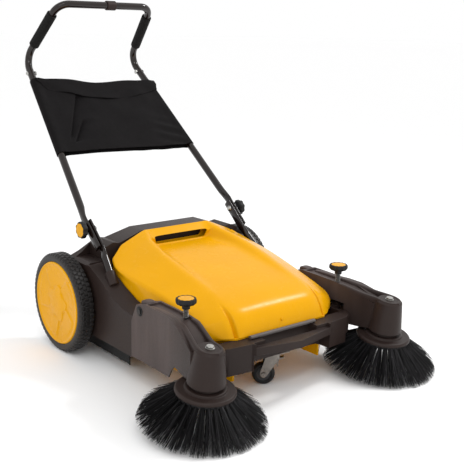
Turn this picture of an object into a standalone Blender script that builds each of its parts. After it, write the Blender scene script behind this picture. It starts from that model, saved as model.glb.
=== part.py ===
"""A manual floor sweeper: a low chassis on two wheels with a lift-out dirt hopper in front, a
roller across the middle and a side brush on an arm at each front corner, pushed by a handle.

Lengths are in metres and angles in degrees. Every piece is laid out from the wheel axle: X runs
along the axle, -Y points to the front and Z goes up from the floor. The root empty then moves
the whole machine, so that its origin lies under the middle of its outline. A piece that comes
in a left and a right version takes side = -1 or +1, the sign of its X."""

import math

import bmesh
import bpy
from mathutils import Matrix, Vector

# Gaps between pieces
SEAT_GAP = 0.0003
RUNNING_GAP = 0.0003
BELT_GAP = 0.0006
MERGE = 0.00001

# How finely round shapes are drawn
WHEEL_SEGMENTS = 40
ROUND_SEGMENTS = 20
HOLE_SEGMENTS = 16
SMALL_SEGMENTS = 12
BEND_STEPS = 5

# Widths that the pieces beside each other share: the bay between the inner walls, then the pod
# with the side drive up to the outer wall
BAY_HALF_WIDTH = 0.246
POD_WIDTH = 0.046
BODY_HALF_WIDTH = BAY_HALF_WIDTH + POD_WIDTH

# Wheels: the wheel's plane is the middle of its width
WHEEL_RADIUS = 0.1407
WHEEL_WIDTH = 0.048
WHEEL_GAP = 0.004
WHEEL_PLANE = BODY_HALF_WIDTH + WHEEL_GAP + WHEEL_WIDTH / 2
TYRE_DEPTH = 0.0232
TYRE_SHOULDER = 0.007
TYRE_SIDE_STEP = 0.001
HUB_RADIUS = WHEEL_RADIUS - TYRE_DEPTH
HUB_FACE_THICKNESS = 0.006
HUB_RIM_WALL = 0.0045
HUB_EDGE_ROUND = 0.0035
HUB_BOSS_RADIUS = 0.020
HUB_BOSS_INSET = 0.004
HUB_DRUM_WALL = 0.0052
AXLE_RADIUS = 0.010
AXLE_BORE_DEPTH = 0.034

# The ring of teeth inside each hub and the pinion that it turns
GEAR_MODULE = 0.005
RING_TEETH = 32
PINION_TEETH = 8
GEAR_ADDENDUM = 0.8
GEAR_DEDENDUM = 1.1
GEAR_WIDTH = 0.0115
GEAR_INSET = 0.010
GEAR_PLANE = WHEEL_PLANE - GEAR_INSET
PINION_WIDTH = 0.010
PINION_ANGLE = 44.5

# Stub axles
STUB_FLANGE_RADIUS = 0.026
STUB_FLANGE_THICKNESS = 0.0035
STUB_SHOULDER_RADIUS = 0.016
STUB_THREAD_RADIUS = 0.008
STUB_NUT_RADIUS = 0.014
STUB_NUT_HEIGHT = 0.010

# Roller, its shaft, bushes and pulleys
ROLLER_RADIUS = 0.0983
ROLLER_CLEARANCE = 0.006
ROLLER_HALF_LENGTH = BAY_HALF_WIDTH - ROLLER_CLEARANCE
SHAFT_RADIUS = 0.006
SHAFT_COLLAR_RADIUS = 0.008
SHAFT_COLLAR_WIDTH = 0.003
BUSH_RADIUS = 0.014
BUSH_FLANGE_RADIUS = 0.018
BUSH_FLANGE_THICKNESS = 0.003
BUSH_STANDOUT = 0.0055
BELT_RADIUS = 0.003
DRIVE_BELT_RADIUS = 0.012
BRUSH_BELT_RADIUS = 0.024
PULLEY_LIP = 0.001
PULLEY_FLARE = 0.0025
DRIVE_PULLEY_OUT = 0.021
DRIVE_PULLEY_PLANE = BAY_HALF_WIDTH + DRIVE_PULLEY_OUT

# Chassis shell
BODY_WALL = 0.004
BODY_BOTTOM = 0.068
HOOD_TOP = 0.338
HOOD_HALF_TOP = 0.115
HOOD_FRONT = -0.090
HOOD_TOP_REAR = -0.025
HOOD_REAR = 0.068
HOOD_REAR_EDGE = 0.190
FENDER_POINTS = (
    (BAY_HALF_WIDTH - 0.056, 0.312),
    (BAY_HALF_WIDTH - 0.037, 0.316),
    (BAY_HALF_WIDTH - 0.015, 0.307),
    (BAY_HALF_WIDTH + 0.016, 0.280),
)
FENDER_EDGE = 0.262
MOUTH_TOP = 0.165
POCKET_INNER = BAY_HALF_WIDTH - 0.010
POCKET_FLOOR = 0.268
POCKET_REAR = -0.008
DECK_LINE = (
    (-0.316, 0.181, 0.193),
    (-0.266, 0.188, 0.203),
    (-0.216, 0.203, 0.222),
    (-0.166, 0.233, 0.246),
    (-0.103, 0.262, 0.266),
    (-0.086, 0.264, 0.267),
)
SHAFT_HOLE_RADIUS = 0.012
BELT_WINDOW_LOW = 0.090
BELT_WINDOW_TOP = 0.165
RAIL_EAR_INNER = BAY_HALF_WIDTH - 0.020

# Arm hinge
PIVOT_Y = -0.359
PIVOT_Z = 0.207
PIN_RADIUS = 0.005
PIN_HEAD_RADIUS = 0.008
PIN_HEAD_HEIGHT = 0.0035
LUG_INNER = BAY_HALF_WIDTH + 0.016
LUG_OUTER = LUG_INNER + 0.022
LUG_HALF_WIDTH = 0.008
LUG_EYE_RADIUS = 0.010
LUG_ROOT_Y = -0.304
LUG_ROOT_Z = 0.154

# Skirts
SKIRT_THICKNESS = 0.004
SIDE_SKIRT_BOTTOM = 0.012
SIDE_SKIRT_FRONT = -0.240
REAR_SKIRT_BOTTOM = 0.008
SKIRT_LAP = 0.012

# Front bumper
BUMPER_TOP = 0.160
BUMPER_BOTTOM = 0.089
BUMPER_REAR = -0.556
BUMPER_BAR_END = (0.127, -0.614)
BUMPER_CORNERS = (
    (BUMPER_BAR_END[0] + 0.008, -0.606),
    (BAY_HALF_WIDTH - 0.046, -0.600),
    (BAY_HALF_WIDTH - 0.018, -0.585),
    (BAY_HALF_WIDTH - 0.006, -0.560),
)
BUMPER_BAR_FRONT = -0.640
BUMPER_BAR_TOP = 0.150
BUMPER_BAR_BOTTOM = 0.130
BUMPER_SLOT_HALF = 0.088
BUMPER_SLOT_REAR = -0.570
BUMPER_SLOT_FRONT = -0.602
BUMPER_WALL = 0.004
RAIL_INNER = BUMPER_CORNERS[2][0]
RAIL_OUTER = BUMPER_CORNERS[3][0]
RAIL_BOTTOM = 0.105
BUMPER_RELIEF_X = RAIL_INNER - 0.022
BUMPER_RELIEF_TOP = 0.110
RAIL_TOP = 0.158
STOP_HALF_LENGTH = 0.010
STOP_BOTTOM = 0.148
STOP_PAD_TOP = 0.168
STOP_PAD_HALF_WIDTH = 0.006

# Side arms
ARM_INNER = BAY_HALF_WIDTH + 0.001
ARM_OUTER = BODY_HALF_WIDTH + 0.006
ARM_WALL = 0.0035
ARM_REAR = -0.320
ARM_OPEN_REAR = 0.020
ARM_PLAN = (
    (-0.480, ARM_OUTER),
    (-0.630, ARM_OUTER + 0.042),
    (-0.650, ARM_INNER + 0.058),
    (-0.630, ARM_INNER + 0.023),
    (-0.540, ARM_INNER),
)
ARM_TOP = (
    (-0.320, 0.172),
    (-0.335, 0.205),
    (-0.343, 0.221),
    (-0.379, 0.231),
    (-0.444, 0.230),
    (-0.506, 0.228),
    (-0.546, 0.223),
    (-0.606, 0.203),
)
ARM_FRONT = ((-0.640, 0.190), (-0.640, 0.122))
ARM_BOTTOM = ((-0.590, 0.118), (-0.530, 0.118), (-0.511, 0.104), (-0.489, 0.075), (-0.320, 0.075))
ARM_GROOVE_DEPTH = 0.006
ARM_GROOVE_REAR = -0.385
ARM_GROOVE_FRONT = -0.612
ARM_RIDGE = 0.006
ARM_ROOF_REAR = -0.340
ARM_INNER_OPENING_TOP = 0.175
GUIDE_POST_Y = -0.470
GUIDE_POST_RADIUS = 0.0035
GUIDED_STRAND_X = ARM_INNER + 0.037
STRAND_Z = 0.150

# Height adjusters
ADJUSTER_X = ARM_INNER + 0.0145
ADJUSTER_Y = -0.505
KNOB_TOP = 0.275
KNOB_RADIUS = 0.025
KNOB_UNDERSIDE = 0.259
KNOB_EDGE = 0.003
COLLAR_RADIUS = 0.010
COLLAR_BOTTOM = 0.248
SCREW_RADIUS = 0.004
SPRING_RADIUS = 0.0060
SPRING_WIRE = 0.0010
SPRING_TURNS = 4
SPRING_STEPS = 8

# Side brushes: heights are taken along the leaning axis from the top of the flange
BRUSH_X = ARM_INNER + 0.0582
BRUSH_Y = -0.6436
BRUSH_LEAN = 7.5
BRUSH_RADIUS = 0.1548
BRUSH_DROP = 0.0849
BRUSH_FLOOR_GAP = 0.0005
BRISTLE_INNER_BOTTOM = 0.108
BRISTLE_INNER_TOP = 0.040
BRISTLE_OUTER_TOP = 0.070
FLANGE_RADIUS = 0.0725
FLANGE_THICKNESS = 0.009
FLANGE_EDGE = 0.003
FLANGE_STEP_RADIUS = 0.050
FLANGE_STEP_HEIGHT = 0.005
FLANGE_HUB_RADIUS = 0.036
FLANGE_HUB_TOP = 0.030
CUP_BOTTOM = 0.0145
CUP_BOTTOM_RADIUS = 0.0465
CUP_SHOULDER = 0.096
CUP_SHOULDER_RADIUS = 0.0355
CUP_TOP = 0.101
CUP_TOP_RADIUS = 0.030
CUP_ROOF = 0.010
SPINDLE_RADIUS = 0.006
SPINDLE_HEAD_RADIUS = 0.011
SPINDLE_HEAD_HEIGHT = 0.007
SPINDLE_NUT_RADIUS = 0.012
SPINDLE_NUT_HEIGHT = 0.005
BRUSH_PULLEY_HEIGHT = 0.045

# Handle: S runs up the legs from the clamp pivot, N stands off their plane to the front
HANDLE_Y = -0.044
HANDLE_Z = 0.352
LEG_ANGLE = 41.85
TUBE_RADIUS = 0.011
FLAT_HALF_THICKNESS = 0.0055
FLAT_HALF_HEIGHT = 0.014
LOWER_TUBE_X = BAY_HALF_WIDTH + 0.0023
LOWER_TUBE_TOP = 0.024
LOWER_TUBE_FLAT_END = -0.078
LOWER_TUBE_ROUND_START = -0.100
LOWER_TUBE_ROUND_X = LOWER_TUBE_X + 0.0047
LOWER_TUBE_END = -0.186
LOWER_TUBE_END_X = LOWER_TUBE_X + 0.0167
SOCKET_START = -0.150
SOCKET_END = -0.192
SOCKET_RADIUS = 0.0145
SOCKET_END_GAP = 0.0025
LEG_STUB = -0.067
LEG_FLAT_END = 0.040
LEG_ROUND_START = 0.075
LEG_END = 0.611
BOW_BOLT_S = 0.599
BOW_BOLT_X = 0.1995
SPIGOT_RADIUS = 0.009
SPIGOT_START = 0.560
SPIGOT_END_GAP = 0.005
SPIGOT_ROOT = 0.003
BOW_CORNER_S = 0.6618
BOW_CORNER_RADIUS = 0.045
BOW_TOP_X = 0.164
BOW_TOP_S = 0.650
BOW_TOP_N = 0.2368
BOW_TOP_RADIUS = 0.042
GRIP_RADIUS = 0.0155
GRIP_LOW_N = 0.0624
GRIP_HIGH_N = 0.1944
SLEEVE_RADIUS = 0.0145
SLEEVE_CENTRE = 0.015
SLEEVE_LENGTH = 0.031
BOLT_RADIUS = 0.003
BOLT_HEAD_RADIUS = 0.007
BOLT_HEAD_HEIGHT = 0.004
CLAMP_BOLT_RADIUS = 0.004
CLAMP_HEAD_RADIUS = 0.010
CLAMP_HEAD_HEIGHT = 0.006
CLAMP_KNOB_RADIUS = 0.020
CLAMP_KNOB_LENGTH = 0.0236
CLAMP_NECK_RADIUS = 0.008
CLAMP_NECK_LENGTH = 0.005
CLAMP_KNOB_END_WALL = 0.003
BAG_BOTTOM_S = 0.2756
BAG_TOP_S = 0.566
BAG_HALF_THICKNESS = 0.0135
BAG_MARGIN = 0.0135

# Hopper lid: each row is a line across the lid, from the rear foot to the front foot, given as
# (x, y, z) at the middle, the edge of the sunk panel, the ridge, the crease and the sill. The
# crease and the sill take their x inwards from the side of the bay
LID_THICKNESS = 0.004
LID_FOOT_GAP = 0.0003
LID_ROWS = (
    ((0, -0.0935, 0.160), (0.100, -0.0935, 0.160), (0.112, -0.0935, 0.160),
     (0.056, -0.0985, 0.160), (0.038, -0.112, 0.160)),
    ((0, -0.0935, 0.342), (0.100, -0.0935, 0.342), (0.112, -0.0935, 0.342),
     (0.056, -0.0985, 0.309), (0.038, -0.112, 0.295)),
    ((0, -0.126, 0.318), (0.096, -0.126, 0.318), (0.118, -0.130, 0.333),
     (0.010, -0.124, 0.282), (0.008, -0.135, 0.264)),
    ((0, -0.120, 0.297), (0.090, -0.120, 0.297), (0.121, -0.145, 0.329),
     (-0.001, -0.150, 0.271), (0.004, -0.155, 0.256)),
    ((0, -0.165, 0.295), (0.103, -0.165, 0.295), (0.127, -0.176, 0.324),
     (-0.006, -0.176, 0.264), (0.003, -0.178, 0.252)),
    ((0, -0.224, 0.292), (0.111, -0.224, 0.292), (0.139, -0.240, 0.309),
     (-0.003, -0.238, 0.256), (0.003, -0.238, 0.226)),
    ((0, -0.300, 0.280), (0.113, -0.300, 0.279), (0.142, -0.305, 0.293),
     (0.006, -0.317, 0.244), (0.003, -0.317, 0.205)),
    ((0, -0.395, 0.263), (0.117, -0.395, 0.262), (0.141, -0.401, 0.266),
     (0.016, -0.400, 0.229), (0.003, -0.400, 0.200)),
    ((0, -0.479, 0.246), (0.120, -0.479, 0.244), (0.143, -0.479, 0.243),
     (0.020, -0.470, 0.213), (0.004, -0.470, 0.190)),
    ((0, -0.537, 0.223), (0.120, -0.537, 0.223), (0.149, -0.531, 0.221),
     (0.025, -0.512, 0.200), (0.013, -0.508, 0.183)),
    ((0, -0.558, 0.196), (0.120, -0.558, 0.196), (0.148, -0.553, 0.194),
     (0.041, -0.530, 0.185), (0.029, -0.524, 0.176)),
    ((0, -0.568, 0.160), (0.120, -0.568, 0.160), (0.152, -0.5675, 0.160),
     (0.064, -0.550, 0.160), (0.052, -0.539, 0.160)),
)
LID_SLOT_HALF = 0.088
LID_SLOT_LOW = 0.300
LID_SLOT_TOP = 0.315
LID_SLOT_REAR = -0.106
LID_SLOT_FRONT = -0.135

# Hopper tub
TUB_HALF_WIDTH = BAY_HALF_WIDTH - 0.024
TUB_REAR = -0.160
TUB_FRONT = -0.552
TUB_CORNERS = (
    (TUB_HALF_WIDTH, -0.462),
    (TUB_HALF_WIDTH - 0.017, -0.505),
    (TUB_HALF_WIDTH - 0.072, -0.552),
)
TUB_BOTTOM = 0.048
TUB_WALL = 0.003
TUB_RIM_TOP = 0.1647
TUB_RIM_HALF_WIDTH = BAY_HALF_WIDTH - 0.004
TUB_RIM_CORNERS = (
    (TUB_RIM_HALF_WIDTH, -0.468),
    (TUB_RIM_HALF_WIDTH - 0.010, -0.506),
    (TUB_RIM_HALF_WIDTH - 0.026, -0.522),
    (TUB_RIM_HALF_WIDTH - 0.049, -0.537),
    (TUB_RIM_HALF_WIDTH - 0.091, -0.566),
)
CASTER_BAY_HALF = 0.145
CASTER_BAY_REAR = -0.455
CASTER_BAY_TOP = 0.110

# Caster under the middle of the front
CASTER_Y = -0.541
CASTER_TURN = 50.3
CASTER_TRAIL = 0.028
CASTER_WHEEL_RADIUS = 0.030
CASTER_WHEEL_WIDTH = 0.022
CASTER_BOSS = 0.002
CASTER_AXLE_RADIUS = 0.004
SHELF_HALF_WIDTH = 0.060
SHELF_REAR = -0.505
SHELF_BOTTOM = 0.0936
SHELF_TOP = 0.100
PLATE_HALF_WIDTH = 0.030
PLATE_THICKNESS = 0.003
FORK_THICKNESS = 0.0025
FORK_TOP_RADIUS = 0.022
FORK_TOP_GAP = 0.0005
FORK_SIDE = ((-0.012, 0.0), (0.020, 0.0), (0.037, -0.054), (0.037, -0.062), (0.032, -0.067),
             (0.024, -0.067), (0.019, -0.062), (-0.012, -0.014))
KINGPIN_RADIUS = 0.005
KINGPIN_HEAD_RADIUS = 0.008
KINGPIN_HEAD_HEIGHT = 0.003
BRAKE_Y = -0.008
BRAKE_Z = 0.072
BRAKE_HUB_RADIUS = 0.004
BRAKE_PIN_RADIUS = 0.002
BRAKE_HALF_WIDTH = 0.007
BRAKE_THICKNESS = 0.003
BRAKE_SHOE_LENGTH = 0.021
BRAKE_PEDAL_LENGTH = 0.016

# Sizes that follow from the ones above
PITCH_RADIUS_RING = GEAR_MODULE * RING_TEETH / 2
PITCH_RADIUS_PINION = GEAR_MODULE * PINION_TEETH / 2
GEAR_CENTRES = PITCH_RADIUS_RING - PITCH_RADIUS_PINION
ROLLER_Y = -GEAR_CENTRES * math.cos(math.radians(PINION_ANGLE))
ROLLER_Z = WHEEL_RADIUS - GEAR_CENTRES * math.sin(math.radians(PINION_ANGLE))
RING_ROOT_RADIUS = PITCH_RADIUS_RING + GEAR_DEDENDUM * GEAR_MODULE
HALF_WHEEL = WHEEL_WIDTH / 2
LEAN = math.radians(BRUSH_LEAN)
BRUSH_Z = BRUSH_DROP * math.cos(LEAN) + BRUSH_RADIUS * math.sin(LEAN) + BRUSH_FLOOR_GAP
LEG_SLOPE = math.radians(LEG_ANGLE)
LEG_X = LOWER_TUBE_X + 2 * FLAT_HALF_THICKNESS + SEAT_GAP
LEG_LEAN_IN = (LEG_X - BOW_BOLT_X) / BOW_BOLT_S

parts = None
cutters = None


# Frames

def wheel_frame(side, x, y, z):
    """A frame whose Z points out of the machine along the axle."""
    return Matrix.Translation((side * x, y, z)) @ Matrix.Rotation(side * math.pi / 2, 4, "Y")


def axle_line(side, y, z):
    """A frame whose Z is the distance out from the middle of the machine."""
    return wheel_frame(side, 0, y, z)


def brush_frame(side):
    """A side brush's own frame, with Z up its leaning spindle."""
    return Matrix.Translation((side * BRUSH_X, BRUSH_Y, BRUSH_Z)) @ Matrix.Rotation(LEAN, 4, "X")


def handle_frame():
    """The handle's frame: X across, Y up the legs (S) and Z off their plane (N)."""
    return Matrix.Translation((0, HANDLE_Y, HANDLE_Z)) @ Matrix.Rotation(LEG_SLOPE, 4, "X")


def leg_x(s):
    """How far out a leg's centre line lies at a distance up from the pivot."""
    return LEG_X - LEG_LEAN_IN * s


# Objects and their places

def clear_scene():
    for item in list(bpy.data.objects):
        bpy.data.objects.remove(item, do_unlink=True)


def new_collection(name):
    collection = bpy.data.collections.new(name)
    bpy.context.scene.collection.children.link(collection)
    return collection


def new_object(name, mesh):
    piece = bpy.data.objects.new(name, mesh)
    parts.objects.link(piece)
    return piece


def body(name, frame, parent=None):
    """An empty on a moving body's joint, given in the machine's frame."""
    empty = bpy.data.objects.new(name, None)
    empty.empty_display_size = 0.03
    parts.objects.link(empty)
    if parent:
        empty.parent = parent
        empty.matrix_parent_inverse = parent.matrix_world.inverted()
    empty.matrix_basis = frame
    bpy.context.view_layer.update()
    return empty


def carry(holder, *pieces):
    """Parents pieces that are drawn in the machine's frame."""
    for piece in pieces:
        piece.parent = holder
        piece.matrix_parent_inverse = holder.matrix_world.inverted()


def fit(holder, *pieces):
    """Parents pieces that are drawn in the holder's own frame."""
    for piece in pieces:
        piece.parent = holder


def combine(piece, tool, operation):
    """A Boolean between a piece and a tool that is drawn in the same frame."""
    parts.objects.unlink(tool)
    cutters.objects.link(tool)
    tool.parent = piece
    tool.hide_render = True
    tool.display_type = "WIRE"
    boolean = piece.modifiers.new(tool.name, "BOOLEAN")
    boolean.operation = operation
    boolean.solver = "EXACT"
    boolean.object = tool
    return piece


def cut(piece, *tools):
    for tool in tools:
        combine(piece, tool, "DIFFERENCE")
    return piece


def join(piece, *tools):
    for tool in tools:
        combine(piece, tool, "UNION")
    return piece


def common(piece, tool):
    return combine(piece, tool, "INTERSECT")


# Shapes

def from_bmesh(name, shape, frame=None):
    mesh = bpy.data.meshes.new(name)
    if frame:
        bmesh.ops.transform(shape, matrix=frame, verts=shape.verts)
    shape.to_mesh(mesh)
    shape.free()
    return new_object(name, mesh)


def settled(drawn, frame=None):
    """The finished mesh of a curve or of an object with modifiers, welded, in place of it."""
    graph = bpy.context.evaluated_depsgraph_get()
    mesh = bpy.data.meshes.new_from_object(drawn.evaluated_get(graph))
    name = drawn.name
    shape = bmesh.new()
    shape.from_mesh(mesh)
    bmesh.ops.remove_doubles(shape, verts=shape.verts, dist=MERGE)
    if frame:
        bmesh.ops.transform(shape, matrix=frame, verts=shape.verts)
    shape.to_mesh(mesh)
    shape.free()
    bpy.data.objects.remove(drawn, do_unlink=True)
    mesh.shade_smooth()
    mesh.set_sharp_from_angle(angle=math.radians(35))
    return new_object(name, mesh)


def box(name, first, second):
    """A block between two opposite corners."""
    shape = bmesh.new()
    bmesh.ops.create_cube(shape, size=1)
    low = [min(pair) for pair in zip(first, second)]
    high = [max(pair) for pair in zip(first, second)]
    for vertex in shape.verts:
        vertex.co = [a + (c + 0.5) * (b - a) for a, b, c in zip(low, high, vertex.co)]
    return from_bmesh(name, shape)


def rod(name, radius, start, end, segments=ROUND_SEGMENTS, frame=None):
    """A round bar from one point to another."""
    start, end = Vector(start), Vector(end)
    shape = bmesh.new()
    bmesh.ops.create_cone(shape, cap_ends=True, segments=segments, radius1=radius,
                          radius2=radius, depth=(end - start).length)
    turn = (end - start).to_track_quat("Z", "Y").to_matrix().to_4x4()
    place = Matrix.Translation((start + end) / 2) @ turn
    bmesh.ops.transform(shape, matrix=place, verts=shape.verts)
    return from_bmesh(name, shape, frame)


PRISM_FRAMES = {
    "X": Matrix(((0, 0, 1, 0), (1, 0, 0, 0), (0, 1, 0, 0), (0, 0, 0, 1))),
    "Y": Matrix(((1, 0, 0, 0), (0, 0, -1, 0), (0, 1, 0, 0), (0, 0, 0, 1))),
    "Z": Matrix.Identity(4),
}


def prism(name, outlines, axis, first, second, frame=None):
    """Filled outlines drawn out along an axis: (y, z) along X, (x, z) along Y, (x, y) along Z.
    An outline inside another is a hole."""
    curve = bpy.data.curves.new(name, "CURVE")
    curve.dimensions = "2D"
    curve.fill_mode = "BOTH"
    curve.extrude = abs(second - first) / 2
    for outline in outlines:
        spline = curve.splines.new("POLY")
        spline.points.add(len(outline) - 1)
        for point, place in zip(spline.points, outline):
            point.co = (place[0], place[1], 0, 1)
        spline.use_cyclic_u = True
    drawn = bpy.data.objects.new(name, curve)
    parts.objects.link(drawn)
    middle = {"X": (1, 0, 0), "Y": (0, 1, 0), "Z": (0, 0, 1)}[axis]
    place = Matrix.Translation(Vector(middle) * (first + second) / 2) @ PRISM_FRAMES[axis]
    if frame:
        place = frame @ place
    return settled(drawn, place)


def turned(name, profile, segments=ROUND_SEGMENTS, frame=None, closed=False, phase=0.0):
    """A profile of (radius, height) points turned about Z. It runs down its outer side; a closed
    one is a ring."""
    mesh = bpy.data.meshes.new(name)
    edges = [(i, i + 1) for i in range(len(profile) - 1)]
    if closed:
        edges.append((len(profile) - 1, 0))
    mesh.from_pydata([(radius, 0, height) for radius, height in profile], edges, [])
    drawn = new_object(name, mesh)
    screw = drawn.modifiers.new("Screw", "SCREW")
    screw.steps = segments
    screw.render_steps = segments
    screw.use_merge_vertices = True
    screw.merge_threshold = MERGE
    turn = Matrix.Rotation(phase, 4, "Z")
    return settled(drawn, frame @ turn if frame else turn)


def tube(name, path, radius, resolution=4, closed=False, frame=None):
    """A round bar along a path of points."""
    curve = bpy.data.curves.new(name, "CURVE")
    curve.dimensions = "3D"
    curve.bevel_depth = radius
    curve.bevel_resolution = resolution
    curve.use_fill_caps = True
    spline = curve.splines.new("POLY")
    spline.points.add(len(path) - 1)
    for point, place in zip(spline.points, path):
        point.co = (*place, 1)
    spline.use_cyclic_u = closed
    drawn = bpy.data.objects.new(name, curve)
    parts.objects.link(drawn)
    return settled(drawn, frame)


def loft(name, rings, frame=None):
    """A closed skin through rings of equally many points."""
    shape = bmesh.new()
    rows = [[shape.verts.new(point) for point in ring] for ring in rings]
    count = len(rows[0])
    for low, high in zip(rows, rows[1:]):
        for i in range(count):
            j = (i + 1) % count
            shape.faces.new((low[i], low[j], high[j], high[i]))
    shape.faces.new(reversed(rows[0]))
    shape.faces.new(rows[-1])
    bmesh.ops.recalc_face_normals(shape, faces=shape.faces)
    return from_bmesh(name, shape, frame)


def circle(radius, count, phase=0.0):
    """Points around a circle."""
    turns = [phase + 2 * math.pi * i / count for i in range(count)]
    return [(radius * math.cos(turn), radius * math.sin(turn)) for turn in turns]


def rounded_path(corners, radii):
    """Straight runs between corners, each inner corner rounded by its radius."""
    corners = [Vector(corner) for corner in corners]
    path = [corners[0]]
    for before, corner, after, radius in zip(corners, corners[1:], corners[2:], radii):
        back = (before - corner).normalized()
        ahead = (after - corner).normalized()
        half = back.angle(ahead) / 2
        centre = corner + (back + ahead).normalized() * radius / math.sin(half)
        start = corner + back * radius / math.tan(half) - centre
        end = corner + ahead * radius / math.tan(half) - centre
        for i in range(BEND_STEPS + 1):
            path.append(centre + start.lerp(end, i / BEND_STEPS).normalized() * radius)
    path.append(corners[-1])
    return path


def inset(outline, wall):
    """A closed outline moved inwards by a wall's thickness."""
    points = [Vector(point) for point in outline]
    area = sum(a.x * b.y - b.x * a.y for a, b in zip(points, points[1:] + points[:1]))
    inward = 1 if area > 0 else -1
    moved = []
    for before, point, after in zip(points[-1:] + points[:-1], points, points[1:] + points[:1]):
        first = (point - before).normalized()
        second = (after - point).normalized()
        first_normal = Vector((-first.y, first.x)) * inward
        second_normal = Vector((-second.y, second.x)) * inward
        corner = first_normal + second_normal
        moved.append(point + corner * wall / (corner.dot(first_normal)))
    return [(point.x, point.y) for point in moved]


def mirrored(half):
    """A half outline of points with X above zero, and its mirror image, as one outline."""
    return list(half) + [(-x, other) for x, other in reversed(half)]


# Materials

def paint(name, colour, roughness, metallic=0.0):
    finish = bpy.data.materials.new(name)
    finish.use_nodes = True
    shader = finish.node_tree.nodes["Principled BSDF"]
    shader.inputs["Base Color"].default_value = (*colour, 1)
    shader.inputs["Roughness"].default_value = roughness
    shader.inputs["Metallic"].default_value = metallic
    return finish


def coat(finish, *pieces):
    for piece in pieces:
        piece.data.materials.clear()
        piece.data.materials.append(finish)


# Chassis

def hood_side(wall):
    outline = [
        (HOOD_FRONT, BODY_BOTTOM),
        (HOOD_FRONT, HOOD_TOP),
        (HOOD_TOP_REAR, HOOD_TOP),
        (HOOD_REAR, HOOD_REAR_EDGE),
        (HOOD_REAR, BODY_BOTTOM),
    ]
    return inset(outline, wall) if wall else outline


def hood_cross(wall):
    half = [(BODY_HALF_WIDTH, BODY_BOTTOM), (BODY_HALF_WIDTH, FENDER_EDGE)]
    half += list(reversed(FENDER_POINTS)) + [(HOOD_HALF_TOP, HOOD_TOP)]
    outline = mirrored(half)
    return inset(outline, wall) if wall else outline


def opened_below(outline, depth):
    """The outline with its lowest points taken down, so that a hollow opens at the bottom."""
    lowest = min(height for _, height in outline)
    return [(place, height - depth if height < lowest + MERGE else height)
            for place, height in outline]


def hood_block(name, wall=0.0):
    """The hood as a solid, or its hollow when a wall is given."""
    side = hood_side(wall)
    cross = hood_cross(wall)
    if wall:
        side = opened_below(side, 2 * wall)
        cross = opened_below(cross, 2 * wall)
    block = prism(name, [side], "X", -BODY_HALF_WIDTH - BODY_WALL, BODY_HALF_WIDTH + BODY_WALL)
    across = prism(name + "_cross", [cross], "Y", HOOD_FRONT - BODY_WALL, HOOD_REAR + BODY_WALL)
    common(block, across)
    for side_sign in (-1, 1):
        pocket = box(
            f"{name}_pocket_{side_sign}",
            (side_sign * (POCKET_INNER - wall), HOOD_FRONT - 2 * BODY_WALL, POCKET_FLOOR - wall),
            (side_sign * (BODY_HALF_WIDTH + 2 * BODY_WALL), POCKET_REAR + wall, HOOD_TOP),
        )
        cut(block, pocket)
    return block


def pod_block(name, side, wall=0.0):
    """The sloping deck and side wall ahead of a wheel, as a solid or as its hollow."""
    inner = side * (BAY_HALF_WIDTH + wall)
    outer = side * (BODY_HALF_WIDTH - wall)
    bottom = BODY_BOTTOM - wall
    first, last = DECK_LINE[0], DECK_LINE[-1]
    stations = [list(station) for station in DECK_LINE]
    if wall:
        stations[0][0] = first[0] + wall
        stations[-1][0] = last[0] + 2 * wall
    rings = []
    for y, outer_top, inner_top in stations:
        rings.append([
            (outer, y, bottom),
            (outer, y, outer_top - wall),
            (inner, y, inner_top - wall),
            (inner, y, bottom),
        ])
    return loft(name, rings)


def lug(side):
    """The bracket that an arm hangs on."""
    root = Vector((LUG_ROOT_Y, LUG_ROOT_Z))
    eye = Vector((PIVOT_Y, PIVOT_Z))
    along = (eye - root).normalized()
    across = Vector((-along.y, along.x)) * LUG_HALF_WIDTH
    outline = [root + across, eye + across, eye - across, root - across]
    bar = prism(f"lug_bar_{side}", [outline], "X", side * LUG_INNER, side * LUG_OUTER)
    eye_rod = rod(f"lug_eye_{side}", LUG_EYE_RADIUS, (side * LUG_INNER, PIVOT_Y, PIVOT_Z),
                  (side * LUG_OUTER, PIVOT_Y, PIVOT_Z), SMALL_SEGMENTS)
    return bar, eye_rod


def inner_plate(side):
    """The wall between the roller and the belt, from the hood's front to its rear."""
    wall = BODY_WALL
    ease = wall / 8
    slope = (HOOD_TOP - HOOD_REAR_EDGE) / (HOOD_REAR - HOOD_TOP_REAR)
    shoulder = FENDER_POINTS[-2][1] - BODY_WALL * 4
    shoulder_y = HOOD_TOP_REAR + (HOOD_TOP - shoulder) / slope - wall / 2
    outline = [
        (HOOD_FRONT + ease, BODY_BOTTOM),
        (HOOD_FRONT + ease, POCKET_FLOOR - wall / 2),
        (POCKET_REAR + wall / 2, POCKET_FLOOR - wall / 2),
        (POCKET_REAR + wall / 2, shoulder),
        (shoulder_y, shoulder),
        (HOOD_REAR - wall / 2, HOOD_REAR_EDGE),
        (HOOD_REAR - wall / 2, BODY_BOTTOM),
    ]
    return prism(f"inner_plate_{side}", [outline], "X", side * (BAY_HALF_WIDTH + ease),
                 side * (BAY_HALF_WIDTH + wall - ease))


def roller_space(name, half_length):
    """The room that the turning roller needs."""
    return rod(name, ROLLER_RADIUS + ROLLER_CLEARANCE, (-half_length, ROLLER_Y, ROLLER_Z),
               (half_length, ROLLER_Y, ROLLER_Z), WHEEL_SEGMENTS)


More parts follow.
